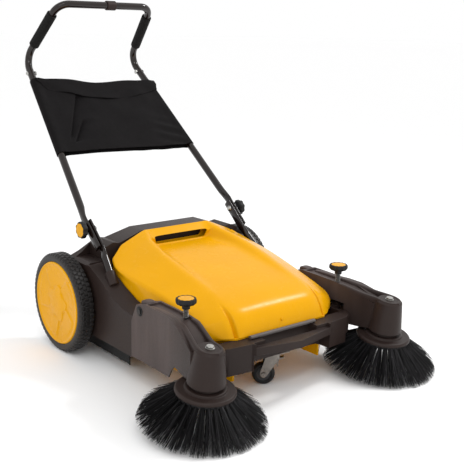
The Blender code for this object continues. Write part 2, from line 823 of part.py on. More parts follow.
def make_chassis():
    wall = BODY_WALL
    shell = hood_block("chassis_shell")
    for side in (-1, 1):
        join(shell, pod_block(f"pod_{side}", side))
    cut(shell, hood_block("hood_hollow", wall))
    pod_front = DECK_LINE[0][0]
    for side in (-1, 1):
        cut(shell, pod_block(f"pod_hollow_{side}", side, wall))
        join(shell, inner_plate(side))
        join(shell, *lug(side))
        join(shell, box(f"rail_ear_{side}",
                        (side * RAIL_EAR_INNER, pod_front, RAIL_BOTTOM),
                        (side * (BAY_HALF_WIDTH + wall / 2), pod_front + wall, RAIL_TOP)))
        start = Vector((side * lower_tube_x(SOCKET_START), SOCKET_START, 0))
        end = Vector((side * lower_tube_x(SOCKET_END), SOCKET_END, 0))
        along = (end - start).normalized()
        join(shell, rod(f"tube_socket_{side}", SOCKET_RADIUS, start, end, ROUND_SEGMENTS,
                        handle_frame()))
        bore_end = Vector((side * lower_tube_x(LOWER_TUBE_END), LOWER_TUBE_END, 0))
        bore = (TUBE_RADIUS + SEAT_GAP) / math.cos(math.pi / HOLE_SEGMENTS)
        cut(shell, rod(f"tube_bore_{side}", bore, start - along * 5 * TUBE_RADIUS,
                       bore_end + along * SOCKET_END_GAP, HOLE_SEGMENTS, handle_frame()))
        window_inner = BAY_HALF_WIDTH + 2 * wall
        cut(shell, box(f"belt_window_{side}",
                       (side * window_inner, pod_front - wall, BELT_WINDOW_LOW),
                       (side * (BODY_HALF_WIDTH - wall), pod_front + 2 * wall, BELT_WINDOW_TOP)))
        for name, radius, y, z, near in (
            ("stub_hole", STUB_THREAD_RADIUS, 0, WHEEL_RADIUS, LUG_OUTER),
            ("bush_hole", BUSH_RADIUS, ROLLER_Y, ROLLER_Z, LUG_OUTER),
            ("shaft_hole", SHAFT_HOLE_RADIUS, ROLLER_Y, ROLLER_Z, 0),
            ("pin_hole", PIN_RADIUS, PIVOT_Y, PIVOT_Z, LUG_INNER - wall),
        ):
            far = BAY_HALF_WIDTH + 2 * wall if name == "shaft_hole" else BODY_HALF_WIDTH + wall
            cut(shell, rod(f"{name}_{side}", radius + SEAT_GAP, (side * near, y, z),
                           (side * far, y, z), HOLE_SEGMENTS))
    cut(shell, roller_space("hood_roller_space", BAY_HALF_WIDTH - wall / 8))
    cut(shell, box("hopper_mouth",
                   (-BAY_HALF_WIDTH, HOOD_FRONT - wall, BODY_BOTTOM - wall),
                   (BAY_HALF_WIDTH, HOOD_FRONT + 2 * wall, MOUTH_TOP)))
    return shell


def make_stub_axle(side):
    """The wheel's axle, bolted through the side wall."""
    inner_end = WHEEL_PLANE - HALF_WHEEL + HUB_BOSS_INSET - RUNNING_GAP
    wall_out = BODY_HALF_WIDTH + SEAT_GAP
    wall_in = BODY_HALF_WIDTH - BODY_WALL - SEAT_GAP
    tip = WHEEL_PLANE - HALF_WHEEL + HUB_BOSS_INSET + AXLE_BORE_DEPTH - RUNNING_GAP
    profile = [
        (0, tip),
        (AXLE_RADIUS, tip),
        (AXLE_RADIUS, inner_end),
        (STUB_SHOULDER_RADIUS, inner_end),
        (STUB_SHOULDER_RADIUS, wall_out + STUB_FLANGE_THICKNESS),
        (STUB_FLANGE_RADIUS, wall_out + STUB_FLANGE_THICKNESS),
        (STUB_FLANGE_RADIUS, wall_out),
        (STUB_THREAD_RADIUS, wall_out),
        (STUB_THREAD_RADIUS, wall_in),
        (STUB_NUT_RADIUS, wall_in),
        (STUB_NUT_RADIUS, wall_in - STUB_NUT_HEIGHT),
        (0, wall_in - STUB_NUT_HEIGHT),
    ]
    return turned(f"stub_axle_{SIDE_NAMES[side]}", profile, ROUND_SEGMENTS,
                  axle_line(side, 0, WHEEL_RADIUS))


def make_bush(side):
    """The bearing bush of the roller shaft in the side wall."""
    bore = SHAFT_RADIUS + RUNNING_GAP
    wall_in = BODY_HALF_WIDTH - BODY_WALL - SEAT_GAP
    profile = [
        (BUSH_RADIUS, BODY_HALF_WIDTH + BUSH_STANDOUT),
        (BUSH_RADIUS, wall_in),
        (BUSH_FLANGE_RADIUS, wall_in),
        (BUSH_FLANGE_RADIUS, wall_in - BUSH_FLANGE_THICKNESS),
        (bore, wall_in - BUSH_FLANGE_THICKNESS),
        (bore, BODY_HALF_WIDTH + BUSH_STANDOUT),
    ]
    return turned(f"roller_bush_{SIDE_NAMES[side]}", profile, HOLE_SEGMENTS,
                  axle_line(side, ROLLER_Y, ROLLER_Z), closed=True)


def make_side_skirt(side):
    """The rubber lip that closes the side of the brush chamber near the floor."""
    inner = BAY_HALF_WIDTH + BODY_WALL + SEAT_GAP
    return box(f"side_skirt_{SIDE_NAMES[side]}",
               (side * inner, SIDE_SKIRT_FRONT, SIDE_SKIRT_BOTTOM),
               (side * (inner + SKIRT_THICKNESS), HOOD_REAR - 2 * BODY_WALL,
                BODY_BOTTOM + SKIRT_LAP))


def make_rear_skirt():
    outer = HOOD_REAR - BODY_WALL - SEAT_GAP
    half = BAY_HALF_WIDTH - SEAT_GAP
    return box("rear_skirt", (-half, outer - SKIRT_THICKNESS, REAR_SKIRT_BOTTOM),
               (half, outer, BODY_BOTTOM + SKIRT_LAP))


def make_arm_pin(side):
    """The bolt that an arm swings on, held in the lug."""
    head = ARM_OUTER + SEAT_GAP
    profile = [
        (0, head + PIN_HEAD_HEIGHT),
        (PIN_HEAD_RADIUS, head + PIN_HEAD_HEIGHT),
        (PIN_HEAD_RADIUS, head),
        (PIN_RADIUS, head),
        (PIN_RADIUS, ARM_INNER + SEAT_GAP),
        (0, ARM_INNER + SEAT_GAP),
    ]
    return turned(f"arm_pin_{SIDE_NAMES[side]}", profile, SMALL_SEGMENTS,
                  axle_line(side, PIVOT_Y, PIVOT_Z))


# Front bumper and caster

def make_bumper():
    """The moulded front bar with its lifting slot, two rails back to the chassis and the shelf
    that the caster is screwed under."""
    half = [(0, BUMPER_BAR_FRONT), BUMPER_BAR_END, *BUMPER_CORNERS, (RAIL_OUTER, BUMPER_REAR)]
    outline = half + [(-x, y) for x, y in reversed(half[1:])]
    bumper = prism("front_bumper", [outline], "Z", BUMPER_BOTTOM, BUMPER_TOP)
    rail_rear = DECK_LINE[0][0] - SEAT_GAP
    bar_x = BUMPER_BAR_END[0]
    block_front = BUMPER_CORNERS[0][1]
    join(bumper, box("caster_shelf", (-SHELF_HALF_WIDTH, SHELF_REAR, SHELF_BOTTOM),
                     (SHELF_HALF_WIDTH, BUMPER_SLOT_REAR, SHELF_TOP)))
    for side in (-1, 1):
        join(bumper, box(f"rail_{side}", (side * RAIL_INNER, rail_rear, RAIL_BOTTOM),
                         (side * RAIL_OUTER, BUMPER_REAR - BUMPER_WALL, RAIL_TOP)))
        stop_rear = ADJUSTER_Y + STOP_HALF_LENGTH
        stop_front = ADJUSTER_Y - STOP_HALF_LENGTH
        pad_outer = ADJUSTER_X + STOP_PAD_HALF_WIDTH
        pad_inner = ADJUSTER_X - STOP_PAD_HALF_WIDTH
        join(bumper, box(f"stop_arm_{side}", (side * (RAIL_INNER + BUMPER_WALL), stop_rear, STOP_BOTTOM),
                         (side * pad_outer, stop_front, RAIL_TOP)))
        join(bumper, box(f"stop_pad_{side}", (side * pad_inner, stop_rear, STOP_BOTTOM),
                         (side * pad_outer, stop_front, STOP_PAD_TOP)))
        cut(bumper, box(f"block_hollow_{side}",
                        (side * (BUMPER_CORNERS[0][0] + BUMPER_WALL), BUMPER_REAR - BUMPER_WALL,
                         BUMPER_BOTTOM - BUMPER_WALL),
                        (side * (RAIL_INNER - BUMPER_WALL), BUMPER_CORNERS[2][1] + BUMPER_WALL / 2,
                         BUMPER_TOP - BUMPER_WALL)))
        cut(bumper, box(f"brush_relief_{side}",
                        (side * BUMPER_RELIEF_X, BUMPER_REAR + BUMPER_WALL, BUMPER_BOTTOM - BUMPER_WALL),
                        (side * (RAIL_OUTER + BUMPER_WALL), BUMPER_BAR_FRONT, BUMPER_RELIEF_TOP)))
    cut(bumper, box("above_caster", (-bar_x, BUMPER_REAR + BUMPER_WALL, 0),
                    (bar_x, BUMPER_SLOT_REAR - BUMPER_WALL / 4, SHELF_BOTTOM)))
    cut(bumper, box("below_bar", (-bar_x - BUMPER_WALL, BUMPER_SLOT_REAR, 0),
                    (bar_x + BUMPER_WALL, BUMPER_BAR_FRONT - BUMPER_WALL, BUMPER_BAR_BOTTOM)))
    cut(bumper, box("above_bar", (-bar_x, BUMPER_SLOT_FRONT, BUMPER_BAR_TOP),
                    (bar_x, BUMPER_BAR_FRONT - BUMPER_WALL, BUMPER_TOP + BUMPER_WALL)))
    cut(bumper, box("lifting_slot", (-BUMPER_SLOT_HALF, BUMPER_SLOT_REAR, BUMPER_BOTTOM),
                    (BUMPER_SLOT_HALF, BUMPER_SLOT_FRONT, BUMPER_TOP + BUMPER_WALL)))
    return bumper


def make_caster_plate():
    """The fixed plate and kingpin of the caster, drawn under the shelf."""
    top = SHELF_BOTTOM - SEAT_GAP
    bottom = top - PLATE_THICKNESS
    half = PLATE_HALF_WIDTH
    plate = box("caster_plate", (-half, CASTER_Y - half * 0.9, bottom), (half, CASTER_Y + half, top))
    head = bottom - 2 * FORK_TOP_GAP - FORK_THICKNESS
    pin = [
        (0, bottom + PLATE_THICKNESS / 2),
        (KINGPIN_RADIUS, bottom + PLATE_THICKNESS / 2),
        (KINGPIN_RADIUS, head),
        (KINGPIN_HEAD_RADIUS, head),
        (KINGPIN_HEAD_RADIUS, head - KINGPIN_HEAD_HEIGHT),
        (0, head - KINGPIN_HEAD_HEIGHT),
    ]
    return join(plate, turned("kingpin", pin, SMALL_SEGMENTS, Matrix.Translation((0, CASTER_Y, 0))))


def caster_frame():
    """The fork's frame: its origin on the floor under the swivel, its Y along the trail."""
    return Matrix.Translation((0, CASTER_Y, 0)) @ Matrix.Rotation(math.radians(CASTER_TURN), 4, "Z")


def make_fork():
    """The bent fork, drawn in the caster's frame."""
    top = SHELF_BOTTOM - SEAT_GAP - PLATE_THICKNESS - FORK_TOP_GAP
    inner = CASTER_WHEEL_WIDTH / 2 + CASTER_BOSS + RUNNING_GAP
    outer = inner + FORK_THICKNESS
    outline = [(y, top + z) for y, z in FORK_SIDE]
    fork = prism("caster_fork", [outline], "X", -outer, outer)
    reach = 2 * outer
    cut(fork, box("fork_gap", (-inner, -2 * reach, -reach), (inner, 2 * reach, top - FORK_THICKNESS)))
    join(fork, rod("fork_cap", FORK_TOP_RADIUS, (0, 0, top), (0, 0, top - FORK_THICKNESS)))
    cut(fork, rod("kingpin_hole", KINGPIN_RADIUS + RUNNING_GAP, (0, 0, top + inner),
                  (0, 0, top - inner), SMALL_SEGMENTS))
    cut(fork, rod("fork_axle_hole", CASTER_AXLE_RADIUS + SEAT_GAP,
                  (-reach, CASTER_TRAIL, CASTER_WHEEL_RADIUS),
                  (reach, CASTER_TRAIL, CASTER_WHEEL_RADIUS), SMALL_SEGMENTS))
    cut(fork, rod("brake_pin_hole", BRAKE_PIN_RADIUS + RUNNING_GAP, (-reach, BRAKE_Y, BRAKE_Z),
                  (reach, BRAKE_Y, BRAKE_Z), SMALL_SEGMENTS))
    return fork, outer


def caster_axis():
    """A frame on the caster wheel's axle, Z along the axle."""
    return Matrix.Translation((0, CASTER_TRAIL, CASTER_WHEEL_RADIUS)) @ Matrix.Rotation(math.pi / 2, 4, "Y")


def make_caster_axle(outer):
    head = outer + SEAT_GAP
    radius = CASTER_AXLE_RADIUS
    profile = [
        (0, head + radius),
        (1.7 * radius, head + radius),
        (1.7 * radius, head),
        (radius, head),
        (radius, -head),
        (1.7 * radius, -head),
        (1.7 * radius, -head - radius),
        (0, -head - radius),
    ]
    return turned("caster_axle", profile, SMALL_SEGMENTS, caster_axis())


def make_caster_wheel():
    half = CASTER_WHEEL_WIDTH / 2
    bore = CASTER_AXLE_RADIUS + RUNNING_GAP
    tread = CASTER_WHEEL_RADIUS / math.cos(math.pi / ROUND_SEGMENTS)
    edge = half / 3
    boss = half + CASTER_BOSS
    profile = [
        (bore + edge, half),
        (tread - edge, half),
        (tread, half - edge),
        (tread, edge - half),
        (tread - edge, -half),
        (bore + edge, -half),
        (bore + edge, -boss),
        (bore, -boss),
        (bore, boss),
        (bore + edge, boss),
    ]
    return turned("caster_wheel", profile, ROUND_SEGMENTS, caster_axis(), closed=True,
                  phase=math.pi / ROUND_SEGMENTS)


def make_brake(outer):
    """The brake lever: a hub on its pin, a shoe above the tread and a pedal."""
    inner = outer - FORK_THICKNESS - RUNNING_GAP
    lever = rod("brake_lever", BRAKE_HUB_RADIUS, (-inner, BRAKE_Y, BRAKE_Z),
                (inner, BRAKE_Y, BRAKE_Z), SMALL_SEGMENTS)
    join(lever, rod("brake_pin", BRAKE_PIN_RADIUS, (-outer - 0.001, BRAKE_Y, BRAKE_Z),
                    (outer + 0.001, BRAKE_Y, BRAKE_Z), SMALL_SEGMENTS))
    half = BRAKE_THICKNESS / 2
    join(lever, box("brake_shoe", (-BRAKE_HALF_WIDTH, BRAKE_Y - half, BRAKE_Z),
                    (BRAKE_HALF_WIDTH, BRAKE_Y + half, BRAKE_Z - BRAKE_SHOE_LENGTH)))
    pedal = [
        (BRAKE_Y, BRAKE_Z - half),
        (BRAKE_Y, BRAKE_Z + half),
        (BRAKE_Y - BRAKE_PEDAL_LENGTH, BRAKE_Z + 3 * half),
        (BRAKE_Y - BRAKE_PEDAL_LENGTH, BRAKE_Z + half),
    ]
    join(lever, prism("brake_pedal", [pedal], "X", -BRAKE_HALF_WIDTH, BRAKE_HALF_WIDTH))
    return lever


# Wheels and roller

def gear_phase(side):
    """The direction from the wheel's axle to the roller shaft, in the wheel's own frame."""
    turn = math.radians(PINION_ANGLE)
    return math.atan2(-math.cos(turn), side * math.sin(turn))


def ring_outline(side):
    """The inward teeth of the hub, with a gap where the pinion meets them."""
    pitch = 2 * math.pi / RING_TEETH
    tip = PITCH_RADIUS_RING - GEAR_ADDENDUM * GEAR_MODULE
    root = RING_ROOT_RADIUS
    points = []
    for tooth in range(RING_TEETH):
        middle = gear_phase(side) + (tooth + 0.5) * pitch
        for radius, share in ((root, -0.27), (tip, -0.14), (tip, 0.14), (root, 0.27)):
            turn = middle + share * pitch
            points.append((radius * math.cos(turn), radius * math.sin(turn)))
    return points


def pinion_outline(side):
    """The pinion's outward teeth, one of them pointing into the ring's gap."""
    pitch = 2 * math.pi / PINION_TEETH
    tip = PITCH_RADIUS_PINION + GEAR_ADDENDUM * GEAR_MODULE
    root = PITCH_RADIUS_PINION - GEAR_DEDENDUM * GEAR_MODULE
    points = []
    for tooth in range(PINION_TEETH):
        middle = gear_phase(side) + tooth * pitch
        for radius, share in ((root, -0.28), (tip, -0.09), (tip, 0.09), (root, 0.28)):
            turn = middle + share * pitch
            points.append((radius * math.cos(turn), radius * math.sin(turn)))
    return points


def make_tyre(side):
    """A ring with a flat tread; one facet of it lies flat on the floor."""
    inner = (HUB_RADIUS + SEAT_GAP) / math.cos(math.pi / WHEEL_SEGMENTS)
    tread = WHEEL_RADIUS / math.cos(math.pi / WHEEL_SEGMENTS)
    half = HALF_WHEEL - TYRE_SIDE_STEP
    profile = [
        (inner, half),
        (tread - TYRE_SHOULDER, half),
        (tread, half - TYRE_SHOULDER),
        (tread, TYRE_SHOULDER - half),
        (tread - TYRE_SHOULDER, -half),
        (inner, -half),
    ]
    return turned(f"tyre_{SIDE_NAMES[side]}", profile, WHEEL_SEGMENTS, closed=True,
                  phase=math.pi / WHEEL_SEGMENTS)


def make_hub(side):
    """The wheel's disc with its boss, its drum and the ring of teeth inside the drum."""
    half = HALF_WHEEL
    web = half - HUB_FACE_THICKNESS
    rim_inner = HUB_RADIUS - HUB_RIM_WALL
    drum_outer = RING_ROOT_RADIUS + HUB_DRUM_WALL
    gear_middle = GEAR_PLANE - WHEEL_PLANE
    bore = AXLE_RADIUS + RUNNING_GAP
    boss_end = HUB_BOSS_INSET - half
    profile = [
        (0, half),
        (HUB_RADIUS - HUB_EDGE_ROUND, half),
        (HUB_RADIUS, half - HUB_EDGE_ROUND),
        (HUB_RADIUS, TYRE_SIDE_STEP - half),
        (rim_inner, TYRE_SIDE_STEP - half),
        (rim_inner, web),
        (HUB_BOSS_RADIUS, web),
        (HUB_BOSS_RADIUS, boss_end),
        (bore, boss_end),
        (bore, boss_end + AXLE_BORE_DEPTH),
        (0, boss_end + AXLE_BORE_DEPTH),
    ]
    hub = turned(f"wheel_hub_{SIDE_NAMES[side]}", profile, ROUND_SEGMENTS)
    outline = circle(drum_outer, ROUND_SEGMENTS)
    teeth = prism(f"ring_teeth_{side}", [outline, ring_outline(side)], "Z",
                  gear_middle - GEAR_WIDTH / 2, web + HUB_FACE_THICKNESS / 4)
    return join(hub, teeth)


def make_pinion(side):
    half = PINION_WIDTH / 2
    bore = circle(SHAFT_RADIUS + RUNNING_GAP, SMALL_SEGMENTS)
    return prism(f"pinion_{SIDE_NAMES[side]}", [pinion_outline(side), bore], "Z", -half, half)


def make_shaft():
    """The roller's shaft, with a collar outside each pinion."""
    collar = GEAR_PLANE + PINION_WIDTH / 2 + RUNNING_GAP
    end = collar + SHAFT_COLLAR_WIDTH
    profile = [
        (0, end),
        (SHAFT_COLLAR_RADIUS, end),
        (SHAFT_COLLAR_RADIUS, collar),
        (SHAFT_RADIUS, collar),
        (SHAFT_RADIUS, -collar),
        (SHAFT_COLLAR_RADIUS, -collar),
        (SHAFT_COLLAR_RADIUS, -end),
        (0, -end),
    ]
    return turned("roller_shaft", profile, SMALL_SEGMENTS, axle_line(1, 0, 0))


def make_roller():
    bore = SHAFT_RADIUS + SEAT_GAP
    half = ROLLER_HALF_LENGTH
    profile = [(ROLLER_RADIUS, half), (ROLLER_RADIUS, -half), (bore, -half), (bore, half)]
    return turned("roller_brush", profile, WHEEL_SEGMENTS, axle_line(1, 0, 0), closed=True)


def pulley_profile(belt_radius, bore, middle):
    """A grooved wheel whose belt runs at a radius."""
    floor = belt_radius - BELT_RADIUS - BELT_GAP
    lip = belt_radius + BELT_RADIUS
    groove = BELT_RADIUS + RUNNING_GAP
    mouth = groove + PULLEY_FLARE
    half = mouth + PULLEY_LIP
    return [
        (lip, middle + half),
        (lip, middle + mouth),
        (floor, middle + groove),
        (floor, middle - groove),
        (lip, middle - mouth),
        (lip, middle - half),
        (bore, middle - half),
        (bore, middle + half),
    ]


def make_drive_pulley(side):
    profile = pulley_profile(DRIVE_BELT_RADIUS, SHAFT_RADIUS + SEAT_GAP, DRIVE_PULLEY_PLANE)
    return turned(f"drive_pulley_{SIDE_NAMES[side]}", profile, SMALL_SEGMENTS, axle_line(side, 0, 0),
                  closed=True)


def make_belt(side):
    """The round belt from the roller shaft to the side brush, with a quarter twist."""
    points = []
    steps = 12
    frame = brush_frame(side)
    for i in range(steps + 1):
        turn = math.pi * i / steps
        around = (BRUSH_BELT_RADIUS * math.cos(turn), -BRUSH_BELT_RADIUS * math.sin(turn),
                  BRUSH_PULLEY_HEIGHT)
        points.append(frame @ Vector((side * around[0], around[1], around[2])))
    pulley_x = side * DRIVE_PULLEY_PLANE
    for i in range(steps + 1):
        turn = math.pi * (i / steps - 0.5)
        points.append(Vector((pulley_x, ROLLER_Y + DRIVE_BELT_RADIUS * math.cos(turn),
                              ROLLER_Z + DRIVE_BELT_RADIUS * math.sin(turn))))
    points.append(Vector((side * GUIDED_STRAND_X, GUIDE_POST_Y, STRAND_Z)))
    return tube(f"drive_belt_{SIDE_NAMES[side]}", points, BELT_RADIUS, 2, closed=True)


# Side arms and brushes

def make_arm(side):
    """An arm open at its bottom and rear, with the cup over the brush at its front."""
    name = SIDE_NAMES[side]
    plan = [(side * ARM_INNER, ARM_REAR), (side * ARM_OUTER, ARM_REAR)]
    plan += [(side * x, y) for y, x in ARM_PLAN]
    outline = list(ARM_TOP) + list(ARM_FRONT) + list(ARM_BOTTOM)
    inside = side * (ARM_INNER - ARM_WALL)
    outside = side * (ARM_PLAN[1][1] + ARM_WALL)
    arm = prism(f"arm_{name}", [outline], "X", inside, outside)
    common(arm, prism(f"arm_plan_{side}", [plan], "Z", 0, KNOB_TOP))
    frame = brush_frame(side)
    cup = [
        (0, CUP_TOP),
        (CUP_TOP_RADIUS, CUP_TOP),
        (CUP_SHOULDER_RADIUS, CUP_SHOULDER),
        (CUP_BOTTOM_RADIUS, CUP_BOTTOM),
        (0, CUP_BOTTOM),
    ]
    join(arm, turned(f"cup_{side}", cup, ROUND_SEGMENTS, frame))
    wall = ARM_WALL
    roof = wall + ARM_GROOVE_DEPTH
    rear = ARM_REAR + ARM_OPEN_REAR
    hollow = [(rear, 0), (rear, KNOB_TOP), (ARM_ROOF_REAR, KNOB_TOP)]
    hollow += [(ARM_ROOF_REAR, ARM_TOP[2][1] - wall), (ARM_TOP[3][0], ARM_TOP[3][1] - wall)]
    hollow += [(ARM_GROOVE_REAR, ARM_TOP[3][1] - roof)]
    hollow += [(y, z - roof) for y, z in ARM_TOP[4:]]
    hollow += [(ARM_FRONT[0][0], ARM_TOP[-1][1] - 2 * roof), (ARM_FRONT[1][0], 0)]
    inner_plan = [(side * (ARM_INNER + wall), rear), (side * (ARM_OUTER - wall), rear)]
    inner_plan += [(side * (ARM_PLAN[0][1] - wall), ARM_PLAN[0][0])]
    inner_plan += [(side * (ARM_PLAN[1][1] - wall), ARM_PLAN[1][0])]
    inner_plan += [(side * (ARM_PLAN[3][1] + wall), ARM_PLAN[3][0])]
    inner_plan += [(side * (ARM_PLAN[4][1] + wall), ARM_PLAN[4][0])]
    space = prism(f"arm_hollow_{side}", [hollow], "X", inside, outside)
    common(space, prism(f"arm_hollow_plan_{side}", [inner_plan], "Z", 0, 2 * KNOB_TOP))
    cut(arm, space)
    cup_hollow = [
        (0, CUP_TOP - CUP_ROOF),
        (CUP_SHOULDER_RADIUS - wall, CUP_TOP - CUP_ROOF),
        (CUP_BOTTOM_RADIUS - wall, 0),
        (0, 0),
    ]
    cut(arm, turned(f"cup_hollow_{side}", cup_hollow, ROUND_SEGMENTS, frame))
    groove = [(ARM_GROOVE_REAR, ARM_TOP[3][1] - ARM_GROOVE_DEPTH)]
    groove += [(y, z - ARM_GROOVE_DEPTH) for y, z in ARM_TOP[4:-1]]
    groove += [(ARM_GROOVE_FRONT, ARM_TOP[-1][1]), (ARM_GROOVE_FRONT, KNOB_TOP), (ARM_GROOVE_REAR, KNOB_TOP)]
    cut(arm, prism(f"arm_groove_{side}", [groove], "X", side * (ARM_INNER + ARM_RIDGE),
                   side * (ARM_OUTER - ARM_RIDGE)))
    cut(arm, box(f"arm_inner_opening_{side}",
                 (inside, ARM_REAR - ARM_OPEN_REAR / 4, 0),
                 (side * (ARM_INNER + wall + SEAT_GAP), ARM_PLAN[4][0] - ARM_OPEN_REAR,
                  ARM_INNER_OPENING_TOP)))
    post_x = side * (GUIDED_STRAND_X + BELT_RADIUS + RUNNING_GAP + GUIDE_POST_RADIUS)
    join(arm, rod(f"guide_post_{side}", GUIDE_POST_RADIUS,
                  (post_x, GUIDE_POST_Y, STRAND_Z - 2 * BELT_RADIUS),
                  (post_x, GUIDE_POST_Y, ARM_TOP[4][1] - ARM_GROOVE_DEPTH - wall / 3), SMALL_SEGMENTS))
    cut(arm, rod(f"arm_pin_bore_{side}", PIN_RADIUS + RUNNING_GAP,
                 (inside, PIVOT_Y, PIVOT_Z), (outside, PIVOT_Y, PIVOT_Z), SMALL_SEGMENTS))
    cut(arm, rod(f"screw_bore_{side}", SCREW_RADIUS + RUNNING_GAP,
                 (side * ADJUSTER_X, ADJUSTER_Y, STOP_PAD_TOP),
                 (side * ADJUSTER_X, ADJUSTER_Y, KNOB_TOP), SMALL_SEGMENTS))
    cut(arm, rod(f"spindle_bore_{side}", SPINDLE_RADIUS + RUNNING_GAP, (0, 0, CUP_BOTTOM),
                 (0, 0, CUP_TOP + CUP_ROOF), SMALL_SEGMENTS, frame))
    return arm


def arm_top_at(y):
    """The height of an arm's ridge line at a distance forward."""
    for (near, high), (far, low) in zip(ARM_TOP, ARM_TOP[1:]):
        if far <= y <= near:
            return high + (low - high) * (near - y) / (near - far)
    return ARM_TOP[-1][1]


def make_adjuster(side):
    """The knob and the screw that sets how high an arm is held above the stop."""
    profile = [
        (0, KNOB_TOP),
        (KNOB_RADIUS - KNOB_EDGE, KNOB_TOP),
        (KNOB_RADIUS, KNOB_TOP - KNOB_EDGE),
        (KNOB_RADIUS, KNOB_UNDERSIDE + KNOB_EDGE),
        (KNOB_RADIUS - KNOB_EDGE, KNOB_UNDERSIDE),
        (COLLAR_RADIUS, KNOB_UNDERSIDE),
        (COLLAR_RADIUS, COLLAR_BOTTOM),
        (SCREW_RADIUS, COLLAR_BOTTOM),
        (SCREW_RADIUS, STOP_PAD_TOP + SEAT_GAP),
        (0, STOP_PAD_TOP + SEAT_GAP),
    ]
    place = Matrix.Translation((side * ADJUSTER_X, ADJUSTER_Y, 0))
    return turned(f"adjuster_knob_{SIDE_NAMES[side]}", profile, ROUND_SEGMENTS, place)


def make_spring(side):
    """The coil that keeps the adjuster from turning by itself."""
    low = arm_top_at(ADJUSTER_Y) - ARM_GROOVE_DEPTH + SEAT_GAP + SPRING_WIRE
    low += abs(ARM_TOP[5][1] - ARM_TOP[4][1]) / abs(ARM_TOP[5][0] - ARM_TOP[4][0]) * SPRING_RADIUS
    high = COLLAR_BOTTOM - SEAT_GAP - SPRING_WIRE
    count = SPRING_TURNS * SPRING_STEPS
    path = []
    for i in range(count + 1):
        turn = 2 * math.pi * i / SPRING_STEPS
        path.append((side * ADJUSTER_X + SPRING_RADIUS * math.cos(turn),
                     ADJUSTER_Y + SPRING_RADIUS * math.sin(turn),
                     low + (high - low) * i / count))
    return tube(f"adjuster_spring_{SIDE_NAMES[side]}", path, SPRING_WIRE, 1)


def make_spindle(side):
    head = CUP_TOP + RUNNING_GAP
    nut = -FLANGE_THICKNESS - SEAT_GAP
    profile = [
        (0, head + SPINDLE_HEAD_HEIGHT),
        (SPINDLE_HEAD_RADIUS, head + SPINDLE_HEAD_HEIGHT),
        (SPINDLE_HEAD_RADIUS, head),
        (SPINDLE_RADIUS, head),
        (SPINDLE_RADIUS, nut),
        (SPINDLE_NUT_RADIUS, nut),
        (SPINDLE_NUT_RADIUS, nut - SPINDLE_NUT_HEIGHT),
        (0, nut - SPINDLE_NUT_HEIGHT),
    ]
    return turned(f"spindle_{SIDE_NAMES[side]}", profile, SMALL_SEGMENTS)


def make_flange(side):
    bore = SPINDLE_RADIUS + SEAT_GAP
    bottom = -FLANGE_THICKNESS
    profile = [
        (FLANGE_HUB_RADIUS, FLANGE_HUB_TOP),
        (FLANGE_HUB_RADIUS, FLANGE_STEP_HEIGHT),
        (FLANGE_STEP_RADIUS, FLANGE_STEP_HEIGHT),
        (FLANGE_STEP_RADIUS, 0),
        (FLANGE_RADIUS - FLANGE_EDGE, 0),
        (FLANGE_RADIUS, -FLANGE_EDGE),
        (FLANGE_RADIUS, bottom),
        (bore, bottom),
        (bore, FLANGE_HUB_TOP),
    ]
    return turned(f"brush_flange_{SIDE_NAMES[side]}", profile, ROUND_SEGMENTS, closed=True)


def make_bristles(side):
    """The cone of bristles as one ring that keeps their outer shape."""
    top = -FLANGE_THICKNESS - SEAT_GAP
    profile = [
        (BRISTLE_OUTER_TOP, top),
        (BRUSH_RADIUS, -BRUSH_DROP),
        (BRISTLE_INNER_BOTTOM, -BRUSH_DROP),
        (BRISTLE_INNER_TOP, top),
    ]
    return turned(f"bristle_ring_{SIDE_NAMES[side]}", profile, WHEEL_SEGMENTS, closed=True)


def make_brush_pulley(side):
    profile = pulley_profile(BRUSH_BELT_RADIUS, SPINDLE_RADIUS + SEAT_GAP, BRUSH_PULLEY_HEIGHT)
    return turned(f"brush_pulley_{SIDE_NAMES[side]}", profile, ROUND_SEGMENTS, closed=True)


# Handle

def lower_tube_x(s):
    """How far out the lower tube's centre line lies, down from where it is round."""
    share = (LOWER_TUBE_ROUND_START - s) / (LOWER_TUBE_ROUND_START - LOWER_TUBE_END)
    return LOWER_TUBE_ROUND_X + (LOWER_TUBE_END_X - LOWER_TUBE_ROUND_X) * share


def oval(x, s, half_x, half_n, lean=0.0):
    """A cross-section of a handle tube, in the handle's frame, square to a tube that leans."""
    ring = circle(1, SMALL_SEGMENTS, math.pi / SMALL_SEGMENTS)
    return [(x + half_x * u, s + half_x * u * lean, half_n * v) for u, v in ring]


def make_lower_tube(side):
    """The stub of tube that stands on the deck, flattened where the leg is clamped to it."""
    flat = (FLAT_HALF_THICKNESS, FLAT_HALF_HEIGHT)
    rings = [
        oval(side * LOWER_TUBE_X, LOWER_TUBE_TOP, *flat),
        oval(side * LOWER_TUBE_X, LOWER_TUBE_FLAT_END, *flat),
        oval(side * LOWER_TUBE_ROUND_X, LOWER_TUBE_ROUND_START, TUBE_RADIUS, TUBE_RADIUS),
        oval(side * lower_tube_x(LOWER_TUBE_END), LOWER_TUBE_END, TUBE_RADIUS, TUBE_RADIUS),
    ]
    lower = loft(f"lower_tube_{SIDE_NAMES[side]}", rings, handle_frame())
    cut(lower, rod(f"lower_tube_bore_{side}", CLAMP_BOLT_RADIUS + SEAT_GAP,
                   (side * (LOWER_TUBE_X - 2 * TUBE_RADIUS), HANDLE_Y, HANDLE_Z),
                   (side * (LOWER_TUBE_X + 2 * TUBE_RADIUS), HANDLE_Y, HANDLE_Z), SMALL_SEGMENTS))
    return lower


